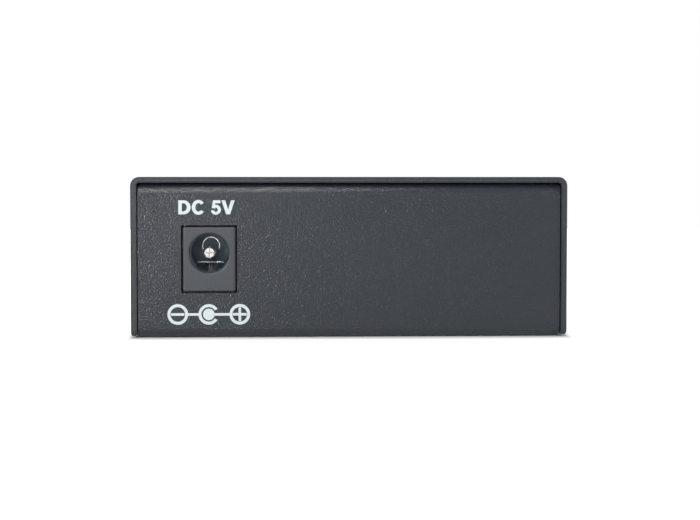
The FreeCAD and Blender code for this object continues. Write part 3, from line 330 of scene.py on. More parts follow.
def put(name, data):
    """A new object in the scene."""
    thing = bpy.data.objects.new(name, data)
    bpy.context.scene.collection.objects.link(thing)
    return thing


def settle(thing, name):
    """An object's finished mesh, as a plain mesh. The object goes."""
    bpy.context.view_layer.update()
    ready = thing.evaluated_get(bpy.context.evaluated_depsgraph_get())
    mesh = bpy.data.meshes.new_from_object(ready)
    bpy.data.objects.remove(thing)
    mesh.name = name
    return mesh


def new_piece(name, mesh, slot, material, *replaced):
    """Makes a mesh a piece of the object: its material, its body and what it stands for. Its slot is not
    used.
    """
    mesh.materials.clear()
    mesh.materials.append(material)
    mesh.shade_smooth()
    mesh.set_sharp_from_angle(angle=SMOOTH_ANGLE)
    piece = put(name, mesh)
    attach(piece, BODY)
    if replaced:
        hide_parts(*replaced)
    return piece


def flat_print(name, outlines, thickness, to_place):
    """A mesh of closed flat outlines, holes included, laid in its place."""
    curve = bpy.data.curves.new(name, "CURVE")
    curve.dimensions = "2D"
    curve.fill_mode = "BOTH"
    curve.extrude = thickness / 2
    for outline in outlines:
        spline = curve.splines.new("POLY")
        spline.points.add(len(outline) - 1)
        for point, (x, y) in zip(spline.points, outline):
            point.co = (x, y, 0, 1)
        spline.use_cyclic_u = True
    mesh = settle(put(name, curve), name)
    mesh.transform(to_place)
    return mesh


def strip(name, line, sheet, width):
    """A sheet-metal strip that follows a line of (x, z) points and is as wide as asked along y."""
    form = bmesh.new()
    rows = []
    for k, (x, z) in enumerate(line):
        before, after = line[max(k - 1, 0)], line[min(k + 1, len(line) - 1)]
        way = Vector((after[0] - before[0], after[1] - before[1])).normalized() * sheet / 2
        rows.append(
            [
                form.verts.new((x - side * way.y, y * width / 2, z + side * way.x))
                for side, y in ((1, 1), (1, -1), (-1, -1), (-1, 1))
            ]
        )
    for low, high in zip(rows, rows[1:]):
        for k in range(4):
            form.faces.new((low[k], low[(k + 1) % 4], high[(k + 1) % 4], high[k]))
    form.faces.new(rows[0])
    form.faces.new(rows[-1])
    return finish_form(form, name)


def prism(name, outline, low, high, share=1.0):
    """A closed outline raised from one height to another, its low end shrunk to a share."""
    form = bmesh.new()
    base = [form.verts.new((x * share, y * share, low)) for x, y in outline]
    top = [form.verts.new((x, y, high)) for x, y in outline]
    form.faces.new(base)
    form.faces.new(top)
    for k in range(len(outline)):
        after = (k + 1) % len(outline)
        form.faces.new((base[k], base[after], top[after], top[k]))
    return finish_form(form, name)


def finish_form(form, name):
    """A mesh of what was formed, with its faces turned outwards."""
    bmesh.ops.recalc_face_normals(form, faces=form.faces)
    mesh = bpy.data.meshes.new(name)
    form.to_mesh(mesh)
    form.free()
    return mesh


def merge(name, *meshes):
    """Several meshes as one."""
    form = bmesh.new()
    for mesh in meshes:
        form.from_mesh(mesh)
    mesh = bpy.data.meshes.new(name)
    form.to_mesh(mesh)
    form.free()
    return mesh


def carve(mesh, cutter):
    """A mesh with another one cut out of it."""
    tool = put("cutter", cutter)
    block = put("block", mesh)
    cut = block.modifiers.new("Cut", "BOOLEAN")
    cut.operation = "DIFFERENCE"
    cut.solver = "EXACT"
    cut.object = tool
    carved = settle(block, mesh.name)
    bpy.data.objects.remove(tool)
    return carved


def cross(arm, half):
    """The outline of a cross with a given reach and half width."""
    return [
        (x * across - y * up, x * up + y * across)
        for across, up in QUARTERS
        for x, y in ((half, -half), (arm, -half), (arm, half))
    ]


def copies_tree():
    """Sets a copy on each point of a mesh, turned as the point says, and gives them all a material."""
    tree = bpy.data.node_groups.new(COPIES, "GeometryNodeTree")
    kinds = {"Points": "Geometry", "Copy": "Object", "Spin": "Float", "Seed": "Int"}
    kinds["Material"] = "Material"
    for name, kind in kinds.items():
        tree.interface.new_socket(name, in_out="INPUT", socket_type="NodeSocket" + kind)
    tree.interface.new_socket("Geometry", in_out="OUTPUT", socket_type="NodeSocketGeometry")
    given = add_node(tree, "NodeGroupInput").outputs

    def add(kind, inputs, settings=None):
        return add_node(tree, kind, settings, inputs).outputs

    source = add("GeometryNodeObjectInfo", {"Object": given["Copy"]})["Geometry"]
    turn = add("GeometryNodeInputNamedAttribute", {"Name": "turn"}, {"data_type": "FLOAT_VECTOR"})[0]
    limits = {2: 0.0, 3: given["Spin"], "Seed": given["Seed"]}
    angle = add("FunctionNodeRandomValue", limits, {"data_type": "FLOAT"})[1]
    about = add("FunctionNodeAxisAngleToRotation", {"Axis": (0.0, 0.0, 1.0), "Angle": angle})[0]
    turns = {"Rotation": turn, "Rotate By": about}
    spun = add("FunctionNodeRotateRotation", turns, {"rotation_space": "LOCAL"})[0]
    laid = {"Points": given["Points"], "Instance": source, "Rotation": spun}
    copies = add("GeometryNodeInstanceOnPoints", laid)[0]
    real = add("GeometryNodeRealizeInstances", {"Geometry": copies})[0]
    coated = add("GeometryNodeSetMaterial", {"Geometry": real, "Material": given["Material"]})[0]
    add("NodeGroupOutput", {"Geometry": coated})
    return tree


def repeat(name, copy, places, slot, material, *replaced, spin=0.0, seed=3):
    """A piece made of copies of a mesh at a list of places."""
    points = bpy.data.meshes.new(name)
    points.from_pydata([place.to_translation() for place in places], [], [])
    turns = points.attributes.new("turn", "FLOAT_VECTOR", "POINT")
    for row, place in zip(turns.data, places):
        row.vector = place.to_euler()
    holder, source = put(name, points), put(name + "_copy", copy)
    grow = holder.modifiers.new("Copies", "NODES")
    grow.node_group = bpy.data.node_groups.get(COPIES) or copies_tree()
    wanted = {"Copy": source, "Spin": spin, "Seed": seed, "Material": material}
    for item in grow.node_group.interface.items_tree:
        if item.name in wanted:
            grow[item.identifier] = wanted[item.name]
    mesh = settle(holder, name)
    bpy.data.objects.remove(source)
    return new_piece(name, mesh, slot, material, *replaced)


def lathe(name, profile, to_place=Matrix(), steps=48):
    """A mesh turned about an axis from (radius, height) points, closed where a radius is 0."""
    form = bmesh.new()
    rings = []
    for radius, height in profile:
        count = steps if radius > 0 else 1
        rings.append(ring_of(form, [radius] * count, height))
    join_rings(form, rings, steps)
    mesh = finish_form(form, name)
    mesh.transform(to_place)
    return mesh


def ring_of(form, radii, height):
    """A ring of points at a height, each as far from the axis as its own radius says."""
    turns = [2 * math.pi * k / len(radii) for k in range(len(radii))]
    return [form.verts.new((r * math.cos(a), r * math.sin(a), height)) for r, a in zip(radii, turns)]


def join_rings(form, rings, steps):
    """Faces between rings of points, of which some may be a single point."""
    for low, high in zip(rings, rings[1:]):
        for k in range(steps):
            near = [low[k % len(low)], low[(k + 1) % len(low)]]
            far = [high[(k + 1) % len(high)], high[k % len(high)]]
            form.faces.new(list(dict.fromkeys(near + far)))


def thread(name, radius, low, high, pitch, steps=24):
    """A threaded rod between two heights: a ridge that climbs one pitch a turn."""
    form = bmesh.new()
    rows_per_turn, groove = 6, pitch * 0.55
    rows = round((high - low) / pitch * rows_per_turn)
    rings = [[form.verts.new((0, 0, low))]]
    for row in range(rows + 1):
        height = low + (high - low) * row / rows
        phases = [(height / pitch - k / steps) % 1 for k in range(steps)]
        rings.append(ring_of(form, [radius - groove * (1 - abs(2 * p - 1)) for p in phases], height))
    rings.append([form.verts.new((0, 0, high))])
    join_rings(form, rings, steps)
    return finish_form(form, name)


def arc(x, y, radius_x, radius_y, start, end, steps=24):
    """Points on an ellipse between two angles in degrees."""
    points = []
    for k in range(steps + 1):
        angle = math.radians(start + (end - start) * k / steps)
        points.append((x + radius_x * math.cos(angle), y + radius_y * math.sin(angle)))
    return points


def circle(x, y, radius, steps=60):
    """Points on a circle, the first of them not repeated."""
    return arc(x, y, radius, radius, 0, 360 - 360 / steps, steps - 1)


def bar(x, y, width, height):
    """A rectangle about a centre."""
    half, rise = width / 2, height / 2
    return [(x - half, y - rise), (x + half, y - rise), (x + half, y + rise), (x - half, y + rise)]


# ---- Sizes and colours ----

# Each light's name, place, side in metres, the power it draws on, and its share of that power
LIGHTS = (
    ("Key", (0.205, 0.39, 0.11), 0.06, "key_power", 1.0),
    ("Glint", (0.046, 0.20, 0.022), 0.01, "glint_power", 1.0),
    ("Top", (0.05, 0.32, 0.27), 0.06, "fill_power", 1.0),
    ("Rim", (-0.32, 0.16, 0.05), 0.12, "fill_power", 0.8),
    ("Front", (0.2, -0.5, 0.3), 0.4, "fill_power", 2.5),
)
AIM_HEIGHT = 15 * MM


class CaseLook(PropertyGroup):
    coat_colour: FloatVectorProperty(
        name="Coat", description="Colour of the powder coat",
        subtype="COLOR", size=3, min=0, max=1, default=(0.026, 0.031, 0.039),
    )
    cover_roughness: FloatProperty(name="Cover", description="Roughness of the cover", default=0.4)
    tray_roughness: FloatProperty(name="Tray", description="Roughness of the tray", default=0.18)
    grain_size: FloatProperty(
        name="Grain", description="Size of the coat's grain",
        unit="LENGTH", default=0.26 * MM, precision=6,
    )
    grain_depth: FloatProperty(
        name="Grain depth", description="Relief of the coat's grain",
        unit="LENGTH", default=0.05 * MM, precision=6,
    )
    fleck: FloatProperty(name="Flecks", description="Strength of the pale flecks", default=0.35)


class MarkSizes(PropertyGroup):
    ink_colour: FloatVectorProperty(
        name="Ink", description="Colour of the printed marks",
        subtype="COLOR", size=3, min=0, max=1, default=(0.66, 0.72, 0.76),
    )
    ink_thickness: FloatProperty(
        name="Ink thickness", description="Height of the ink over the coat",
        unit="LENGTH", default=0.03 * MM, precision=6,
    )
    cap_height: FloatProperty(
        name="Cap height", description="Height of the printed capitals",
        unit="LENGTH", default=2.33 * MM, precision=5,
    )
    legend_rise: FloatProperty(
        name="Legend rise", description="Middle of the legend over the base",
        unit="LENGTH", default=21.75 * MM, precision=5,
    )
    symbol_rise: FloatProperty(
        name="Symbol rise", description="Middle of the symbol over the base",
        unit="LENGTH", default=3.9 * MM, precision=5,
    )
    ring_pitch: FloatProperty(
        name="Ring pitch", description="Distance between the symbol's rings",
        unit="LENGTH", default=5.16 * MM, precision=5,
    )
    ring_radius: FloatProperty(
        name="Ring radius", description="Outer radius of the rings",
        unit="LENGTH", default=1.72 * MM, precision=5,
    )
    stroke: FloatProperty(
        name="Stroke", description="Width of the rings' line",
        unit="LENGTH", default=0.5 * MM, precision=5,
    )


class BoardSizes(PropertyGroup):
    lead_pitch: FloatProperty(
        name="Lead pitch", description="Distance between leads",
        unit="LENGTH", default=1.27 * MM, precision=5,
    )
    lead_width: FloatProperty(
        name="Lead width", description="Width of a lead",
        unit="LENGTH", default=0.4 * MM, precision=5,
    )
    lead_sheet: FloatProperty(
        name="Lead sheet", description="Thickness of a lead",
        unit="LENGTH", default=0.2 * MM, precision=5,
    )
    lead_reach: FloatProperty(
        name="Lead reach", description="How far a lead stands out",
        unit="LENGTH", default=1.1 * MM, precision=5,
    )
    solder_radius: FloatProperty(
        name="Solder radius", description="Foot of a solder joint",
        unit="LENGTH", default=0.6 * MM, precision=5,
    )
    solder_drop: FloatProperty(
        name="Solder drop", description="Depth of a solder joint",
        unit="LENGTH", default=0.9 * MM, precision=5,
    )
    legend_line: FloatProperty(
        name="Legend line", description="Width of the board's print",
        unit="LENGTH", default=0.2 * MM, precision=5,
    )
    legend_gap: FloatProperty(
        name="Legend gap", description="From a part to its outline",
        unit="LENGTH", default=0.3 * MM, precision=5,
    )


class ScrewSizes(PropertyGroup):
    shank_radius: FloatProperty(
        name="Shank", description="Outer radius of the threads",
        unit="LENGTH", default=1.5 * MM, precision=5,
    )
    thread_pitch: FloatProperty(
        name="Pitch", description="Rise of a thread in one turn",
        unit="LENGTH", default=0.5 * MM, precision=5,
    )
    hexagon_radius: FloatProperty(
        name="Hexagon", description="Radius over the corners of the board screws",
        unit="LENGTH", default=3.1 * MM, precision=5,
    )


class StageLook(PropertyGroup):
    distance: FloatProperty(
        name="Camera distance", description="From the rear panel",
        unit="LENGTH", default=280 * MM,
    )
    camera_side: FloatProperty(
        name="Camera side", description="Off the middle",
        unit="LENGTH", default=13.6 * MM,
    )
    camera_rise: FloatProperty(
        name="Camera rise", description="Over the floor",
        unit="LENGTH", default=26 * MM,
    )
    yaw: FloatProperty(
        name="Yaw", description="Turn of the camera",
        subtype="ANGLE", default=math.radians(2.78),
    )
    pitch: FloatProperty(
        name="Pitch", description="Dip of the camera",
        subtype="ANGLE", default=math.radians(2.67),
    )
    lens: FloatProperty(name="Lens", description="Focal length in millimetres", default=86.3)
    sky_level: FloatProperty(name="Sky", description="Light from all round", default=0.45)
    key_power: FloatProperty(name="Key", description="Watts of the main light", default=0.58)
    fill_power: FloatProperty(name="Fill", description="Watts of the other lights", default=0.4)
    glint_power: FloatProperty(name="Glint", description="Watts of the small light", default=0.009)
    floor_tone: FloatProperty(name="Floor", description="Lightness of the floor", default=0.9)
    shadow_reach: FloatProperty(
        name="Shadow reach", description="How far the shadow shows",
        unit="LENGTH", default=7 * MM, precision=5,
    )


# ---- Operators ----


class CONVERTER_OT_coat_case(Operator):
    """Coats the cover and the tray"""

    bl_idname = "converter.coat_case"
    bl_label = "Coat the case"

    def execute(self, context):
        look = context.scene.converter_case
        dress(powder_coat("Cover coat", look, look.cover_roughness), "top_cover")
        dress(powder_coat("Tray coat", look, look.tray_roughness), "base_tray")
        round_edges(0.14 * MM, "top_cover", "base_tray")
        return {"FINISHED"}


class CONVERTER_OT_print_marks(Operator):
    """Prints the voltage and the polarity symbol on the rear panel"""

    bl_idname = "converter.print_marks"
    bl_label = "Print the marks"

    def execute(self, context):
        sizes = context.scene.converter_marks
        ink = printed_ink("Ink", sizes.ink_colour)
        turn = Matrix.Rotation(math.pi, 4, "Z") @ Matrix.Rotation(math.pi / 2, 4, "X")
        face = panel_high.y + sizes.ink_thickness / 2
        for name, outlines, shift, rise in (
            ("voltage_mark", voltage_outlines(sizes.cap_height), 0.49 * MM, sizes.legend_rise),
            ("polarity_mark", polarity_outlines(sizes), 0.08 * MM, sizes.symbol_rise),
        ):
            place = Matrix.Translation((jack_x + shift, face, rise)) @ turn
            mesh = flat_print(name, outlines, sizes.ink_thickness, place)
            new_piece(name, mesh, "ceramic_white", ink)
        return {"FINISHED"}


def voltage_outlines(cap):
    """The outlines of the supply's letters for capitals of a height, about their middle."""
    bowl = arc(0.46, 0.5, 0.49, 0.5, 85, -85, 18)
    eye = arc(0.43, 0.5, 0.25, 0.29, 85, -85, 18)
    d = [
        [(0.07, 0), (0.07, 1), (0.46, 1)] + bowl + [(0.46, 0)],
        [(0.325, 0.21), (0.325, 0.79), (0.43, 0.79)] + eye + [(0.43, 0.21)],
    ]
    c = [arc(0.50, 0.5, 0.47, 0.53, 36, 324, 30) + arc(0.51, 0.5, 0.225, 0.305, 322, 38, 30)]
    five = [
        [(0.68, 1), (0.15, 1), (0.065, 0.45), (0.285, 0.42)]
        + arc(0.355, 0.325, 0.14, 0.155, 125, -140, 18)
        + [(0.245, 0.275), (0.015, 0.295)]
        + arc(0.355, 0.33, 0.36, 0.355, -155, 95, 24)
        + [(0.29, 0.67), (0.315, 0.79), (0.68, 0.79)]
    ]
    v = [[(-0.01, 1), (0.265, 1), (0.47, 0.33), (0.675, 1), (0.94, 1), (0.605, 0), (0.33, 0)]]
    space = []
    outlines = []
    line = 0.0
    for glyph, advance in ((d, 1.0), (c, 1.0), (space, 0.39), (five, 0.76), (v, 0.93)):
        outlines += [[(line + x, y - 0.5) for x, y in outline] for outline in glyph]
        line += advance
    return [[((x - line / 2) * cap, y * cap) for x, y in outline] for outline in outlines]


def polarity_outlines(sizes):
    """Centre-positive wiring: a minus ring, the plug's ring round its dot, and a plus ring."""
    radius, stroke, pitch = sizes.ring_radius, sizes.stroke, sizes.ring_pitch
    inner = radius - stroke
    line = stroke * 0.85
    dot = radius * 0.56
    mouth_angle = 33
    rim = math.degrees(math.asin(line / 2 / radius))
    neck = math.degrees(math.asin(line / 2 / dot))
    plug = arc(-pitch, 0, radius, radius, rim, 360 - rim, 60)
    plug += arc(0, 0, radius, radius, 180 + rim, 360 - mouth_angle, 24)
    plug += arc(0, 0, inner, inner, 360 - mouth_angle, mouth_angle, 44)
    plug += arc(0, 0, radius, radius, mouth_angle, 180 - rim, 24)
    pin = arc(0, 0, dot, dot, neck, 360 - neck, 40)
    pin += arc(pitch, 0, radius, radius, -180 + rim, 180 - rim, 60)
    holes = [circle(side * pitch, 0, inner) for side in (-1, 1)]
    minus = bar(-pitch, 0, inner * 1.8, stroke * 0.86)
    plus = [(pitch + x, y) for x, y in cross(inner * 0.94, stroke * 0.42)]
    return [plug, pin, *holes, minus, plus]


class CONVERTER_OT_finish_power_socket(Operator):
    """Gives the power socket its plastic and its plated contacts"""

    bl_idname = "converter.finish_power_socket"
    bl_label = "Finish the power socket"

    def execute(self, context):
        nickel = plated_metal("Nickel plate", (0.78, 0.77, 0.74), 0.16)
        # The bore colour is painted light: a pale blue fill on the bore's wall, standing in for light
        # the lamps don't bring there.
        plastic = socket_plastic(face=(0.052, 0.059, 0.070), bore=(0.21, 0.27, 0.33))
        dress(plastic, "power_socket_housing")
        for name in ("pin", "sleeve_spring", "switch_contact", "pin_terminal"):
            dress(nickel, "power_socket_" + name)
        round_edges(0.2 * MM, "power_socket_housing")
        fit_arch(nickel)
        fit_bead(nickel)
        return {"FINISHED"}


def socket_plastic(face, bore):
    """The socket's moulded plastic, with painted light on the wall of its bore: pale blue from just
    inside the mouth inwards, where the lamps hardly reach.
    """
    finish = Finish("Socket plastic", face, 0.36)
    cloud = finish.noise(3 * MM)
    painted_light_depth = finish.between(finish.axis("Y"), jack_high.y - 0.4 * MM, jack_high.y - 2 * MM)
    near = finish.between(finish.off_line(jack_x, jack_z), 3.4 * MM, 3.25 * MM)
    body = finish.blend(cloud, tint(face, 0.93), tint(face, 1.07))
    # Painted light: the bore's wall turns from the face colour to the pale bore colour between 0.4 and 2
    # mm inside the mouth.
    finish.set("Base Color", finish.blend(painted_light_depth * near, body, bore))
    finish.set("Roughness", finish.between(cloud, 0.3, 0.7, 0.32, 0.42))
    finish.relief(finish.noise(0.3 * MM) + finish.noise(0.12 * MM, 1.0) * 0.4, 0.04 * MM)
    return finish.material


def fit_arch(nickel):
    """The rounded rim of the centre terminal, at the end of the bore."""
    radius, wire, rise, depth = 1.45 * MM, 0.05 * MM, 0.9 * MM, 8 * MM
    mesh = strip("terminal_rim", arc(0, 0, radius, radius, -25, 205, 40), wire * 2, wire * 2)
    mesh.transform(Matrix.Translation((jack_x, spring_high.y - depth + wire, jack_z + rise)))
    new_piece("terminal_rim", mesh, "nickel", nickel)


def fit_bead(nickel):
    """The coined bead along the sleeve spring's crest."""
    bead, depth = 0.08 * MM, 5.6 * MM
    middle, reach = (spring_low.x + spring_high.x) / 2, (spring_high.x - spring_low.x) / 2
    profile = [(0, -reach), (bead, bead / 2 - reach), (bead, reach - bead / 2), (0, reach)]
    crest = Matrix.Translation((middle, jack_high.y - depth, spring_high.z + bead * 0.6))
    mesh = lathe("spring_bead", profile, crest @ Matrix.Rotation(math.pi / 2, 4, "Y"), 16)
    new_piece("spring_bead", mesh, "nickel", nickel)


class CONVERTER_OT_finish_network_socket(Operator):
    """Gives the network socket its body, shield and gilt contacts"""

    bl_idname = "converter.finish_network_socket"
    bl_label = "Finish the network socket"

    def execute(self, context):
        dress(moulded_plastic("Network socket body", (0.02, 0.021, 0.023)), "network_socket_housing")
        dress(plated_metal("Tin shield", TIN, 0.28, (1, 1, 12)), "network_socket_shield")
        dress(plated_metal("Gilt contacts", (0.83, 0.60, 0.22), 0.2), "network_socket_contacts")
        round_edges(0.08 * MM, "network_socket_housing", "network_socket_shield")
        return {"FINISHED"}


class CONVERTER_OT_finish_fibre_ports(Operator):
    """Gives the fibre transceiver its body, latches and sleeves"""

    bl_idname = "converter.finish_fibre_ports"
    bl_label = "Finish the fibre ports"

    def execute(self, context):
        body = moulded_plastic("Transceiver body", (0.018, 0.018, 0.02), 0.5)
        dress(body, "fibre_transceiver_housing")
        latch = moulded_plastic("Blue latches", (0.03, 0.12, 0.42), 0.38)
        dress(latch, "fibre_transmit_latch", "fibre_receive_latch")
        sleeve = moulded_plastic("White sleeves", (0.82, 0.82, 0.79), 0.25)
        dress(sleeve, "fibre_transmit_barrel", "fibre_receive_barrel")
        dress(plated_metal("Transceiver pins", TIN), "fibre_transceiver_pins")
        round_edges(0.1 * MM, "fibre_transceiver_housing", "fibre_transmit_latch", "fibre_receive_latch")
        return {"FINISHED"}


class CONVERTER_OT_finish_lamps(Operator):
    """Gives the lamps their tinted resin and the holder its plastic"""

    bl_idname = "converter.finish_lamps"
    bl_label = "Finish the lamps"

    def execute(self, context):
        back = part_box("lamp_holder")[1].y
        dress(clear_resin("Lamp resin", (0.55, 0.78, 0.45), back), *LAMPS)
        round_edges(0.3 * MM, *LAMPS)
        dress(moulded_plastic("Lamp holder", (0.02, 0.02, 0.022), 0.5), "lamp_holder")
        return {"FINISHED"}


class CONVERTER_OT_fit_screws(Operator):
    """Makes the threaded screws, and gives the standoffs their finish"""

    bl_idname = "converter.fit_screws"
    bl_label = "Fit the screws"

    def execute(self, context):
        sizes = context.scene.converter_screws
        zinc = plated_metal("Zinc plate", (0.66, 0.67, 0.66), 0.3)
        dress(zinc, "board_standoffs")
        fit_cover_screws(sizes, plated_metal("Black oxide", (0.05, 0.05, 0.052), 0.35))
        fit_board_screws(sizes, zinc)
        return {"FINISHED"}


def foot_of(name):
    """The place at the middle of a node's underside."""
    low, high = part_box(name)
    return Matrix.Translation(((low.x + high.x) / 2, (low.y + high.y) / 2, low.z))


def points_of(name):
    """A node's points."""
    node = nodes[name]
    return [node.matrix_world @ corner.co for corner in node.data.vertices]


def corners_of(name):
    """The middles of four like things in one node, each from the node's points in its own quarter."""
    low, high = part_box(name)
    groups = {}
    middle = (low + high) / 2
    for point in points_of(name):
        groups.setdefault((point.x > middle.x, point.y > middle.y), []).append(point)
    return [
        [(min(p[k] for p in points) + max(p[k] for p in points)) / 2 for k in range(3)]
        for points in groups.values()
    ]


def cut_recess(head, top, arm, half, depth):
    """A screw's head with a cross recess in its top, narrower at the bottom."""
    over, taper = 0.1 * MM, 0.45
    return carve(head, prism("recess", cross(arm, half), top - depth, top + over, taper))


def fit_cover_screws(sizes, black):
    """Countersunk screws with a cross recess, flush with the sides."""
    low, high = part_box("cover_screws")
    head, shank = (high.z - low.z) / 2, sizes.shank_radius
    rim, sink, length = 0.12 * MM, 1.0 * MM, 4.0 * MM
    profile = [(0, 0), (head - rim, 0), (head, -rim), (shank, -sink), (shank * 0.8, -sink), (0, -sink)]
    top = cut_recess(lathe("head", profile, steps=40), 0, 1.35 * MM, 0.34 * MM, 0.85 * MM)
    screw = merge("cover_screw", top, thread("shank", shank, -length, -sink * 0.9, sizes.thread_pitch))
    places = []
    for x, y, z in corners_of("cover_screws"):
        side = 1 if x > 0 else -1
        place = Matrix.Translation((high.x * side, y, z))
        places.append(place @ Matrix.Rotation(side * math.pi / 2, 4, "Y"))
    repeat(
        "threaded_cover_screws", screw, places, "screw_black", black, "cover_screws", spin=math.pi / 2
    )


def fit_board_screws(sizes, zinc):
    """Six-sided screws with a cross recess, over the standoffs."""
    low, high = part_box("board_screws")
    rise, across = high.z - board_high.z, sizes.hexagon_radius
    profile = [(0, 0), (across, 0), (across, rise * 0.8), (across * 0.86, rise), (0, rise)]
    head = lathe("head", profile, Matrix.Rotation(math.pi / 6, 4, "Z"), 6)
    top = cut_recess(head, rise, 1.4 * MM, 0.36 * MM, 1.0 * MM)
    shank = thread("shank", sizes.shank_radius, low.z - board_high.z, 0.05 * MM, sizes.thread_pitch)
    screw = merge("board_screw", top, shank)
    places = [Matrix.Translation((x, y, board_high.z)) for x, y, _ in corners_of("board_screws")]
    repeat("threaded_board_screws", screw, places, "zinc_steel", zinc, "board_screws")


class CONVERTER_OT_finish_board(Operator):
    """Gives the board and the parts on it their finishes, leads, cans, solder and print"""

    bl_idname = "converter.finish_board"
    bl_label = "Finish the board"

    def execute(self, context):
        sizes = context.scene.converter_board
        dress(laminate("Solder mask", (0.012, 0.11, 0.045), (0.028, 0.027, 0.02)), "circuit_board")
        epoxy = moulded_plastic("Chip epoxy", (0.016, 0.016, 0.018), 0.6)
        dress(epoxy, "converter_chip", "memory_chip", "voltage_regulator", "line_transformer")
        tin = plated_metal("Tinned leads", TIN, 0.3)
        dress(tin, "voltage_regulator_leads")
        for body, count, rise, sides in (
            ("converter_chip", 8, 0.7 * MM, (0, 1, 2, 3)),
            ("memory_chip", 4, 0.75 * MM, (0, 2)),
            ("line_transformer", 8, 1.1 * MM, (1, 3)),
        ):
            bend_leads(body, count, rise, sides, sizes, tin)
        can = plated_metal("Bright cans", (0.8, 0.8, 0.82), 0.2)
        dress(can, "crystal_can")
        dress(epoxy, *CAPACITORS)
        mark = printed_ink("Can mark", (0.02, 0.02, 0.022))
        make_can("capacitor_1_can", can, mark)
        make_can("capacitor_2_can", can, mark)
        dress(moulded_plastic("Ferrite", (0.06, 0.06, 0.065), 0.55, 0.3 * MM, 0.02 * MM), "power_choke")
        ceramic = moulded_plastic("Fired ceramic", (0.28, 0.2, 0.13), 0.4)
        dress(ceramic, "chip_resistors", "input_fuse")
        solder_tails(sizes, tin)
        print_board(sizes)
        mark_first_leads(sizes)
        round_edges(0.12 * MM, "line_transformer", "power_choke", "memory_chip", "voltage_regulator")
        return {"FINISHED"}


def bend_leads(body, count, rise, sides, sizes, tin):
    """Gull-wing leads along the sides of a package, in place of the flat ones."""
    low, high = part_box(body)
    half = sizes.lead_sheet / 2
    shoulder, heel, ease, lift = 0.3 * MM, 0.7 * MM, 0.12 * MM, 0.08 * MM
    line = [(-shoulder, rise), (shoulder, rise), (shoulder + ease, rise - ease / 2)]
    line += [(heel - ease, half + lift), (heel, half), (sizes.lead_reach, half)]
    lead = strip("lead", line, sizes.lead_sheet, sizes.lead_width)
    middle = foot_of(body)
    places = []
    for side in sides:
        turn = Matrix.Rotation(side * math.pi / 2, 4, "Z")
        reach = (high.x - low.x) / 2 if side % 2 == 0 else (high.y - low.y) / 2
        for k in range(count):
            step = (k - (count - 1) / 2) * sizes.lead_pitch
            places.append(middle @ turn @ Matrix.Translation((reach, step, 0)))
    repeat("bent_" + body + "_leads", lead, places, "tin", tin, body + "_leads")


def make_can(name, metal, ink):
    """A capacitor's can with a rolled groove, a rounded top and a dark mark over its negative side."""
    low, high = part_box(name)
    radius, height = (high.x - low.x) / 2, high.z - low.z
    rim, round_off = 0.1 * MM, 0.5 * MM
    groove, groove_half, groove_depth = 1.6 * MM, 0.55 * MM, 0.3 * MM
    flat, side = radius - round_off, height - round_off
    profile = [(0, 0), (radius - rim, 0), (radius, rim)]
    profile += [(radius - x, groove + y) for y, x in arc(0, 0, groove_half, groove_depth, 180, 0, 8)]
    profile += arc(flat, side, round_off, round_off, 0, 90, 5) + [(0, height)]
    middle = foot_of(name)
    new_piece("rolled_" + name, lathe(name, profile, middle), "can_aluminium", metal, name)
    segment = arc(0, 0, flat, flat, 55, 125, 16)
    top = middle @ Matrix.Translation((0, 0, height - HAIR))
    new_piece(name + "_mark", flat_print("mark", [segment], HAIR * 4, top), "chip_black", ink)


def tails_of(name, apart):
    """Middles of the ends of the tails that pass through the board."""
    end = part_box(name)[0].z + TAIL_END
    groups = []
    for point in points_of(name):
        if point.z > end:
            continue
        for group in groups:
            if (group[0] - point).length < apart:
                group.append(point)
                break
        else:
            groups.append([point])
    return [sum(group, Vector()) / len(group) for group in groups]


def solder_tails(sizes, tin):
    """A fillet of solder round each tail, under the board."""
    radius, drop, sunk, tip = sizes.solder_radius, sizes.solder_drop, 0.1 * MM, 0.3
    profile = [(0, sunk), (radius, sunk)]
    for share in (0, 0.2, 0.4, 0.6, 0.8, 1):
        profile.append((radius * (tip + (1 - tip) * (1 - share) ** 2), -drop * share))
    profile.append((0, -drop))
    ends = []
    for name in ("sleeve_spring", "switch_contact", "pin_terminal"):
        ends += tails_of("power_socket_" + name, 2.6 * MM)
    for name in ("network_socket_contacts", "fibre_transceiver_pins", *LAMPS):
        ends += tails_of(name, 0.9 * MM)
    places = [Matrix.Translation((end.x, end.y, board_low.z)) for end in ends]
    repeat("solder_joints", lathe("joint", profile, steps=16), places, "tin", tin)


def mark_first_leads(sizes):
    """The round marks by the first lead of the packages."""
    marks = []
    for name, radius in (
        ("converter_chip", 0.6 * MM),
        ("memory_chip", 0.3 * MM),
        ("line_transformer", 0.5 * MM),
    ):
        low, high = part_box(name)
        inset = radius * 2.2
        place = Matrix.Translation((low.x + inset, low.y + inset, high.z + HAIR))
        rings = [circle(0, 0, ring, 20) for ring in (radius, radius * 0.55)]
        marks.append(flat_print("mark", rings, sizes.legend_line * 0.1, place))
    ink = printed_ink("Package ink", (0.5, 0.5, 0.48))
    new_piece("first_lead_marks", merge("first_lead_marks", *marks), "ceramic_white", ink)


def print_board(sizes):
    """White outlines round the parts on the board."""
    outlines = []
    for name in ("converter_chip_leads", "memory_chip_leads", "line_transformer_leads", "crystal_can"):
        low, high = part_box(name)
        middle, span = (low + high) / 2, high - low
        for gap in (sizes.legend_gap, sizes.legend_gap + sizes.legend_line):
            outlines.append(bar(middle.x, middle.y, span.x + 2 * gap, span.y + 2 * gap))
    for name in CAPACITORS:
        low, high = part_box(name)
        middle, radius = (low + high) / 2, (high.x - low.x) / 2 + sizes.legend_gap * 2
        for ring in (radius, radius + sizes.legend_line):
            outlines.append(circle(middle.x, middle.y, ring))
    place = Matrix.Translation((0, 0, board_high.z + sizes.legend_line * 0.05))
    mesh = flat_print("board_legend", outlines, sizes.legend_line * 0.1, place)
    new_piece("board_legend", mesh, "ceramic_white", printed_ink("Board ink", (0.8, 0.8, 0.78)))


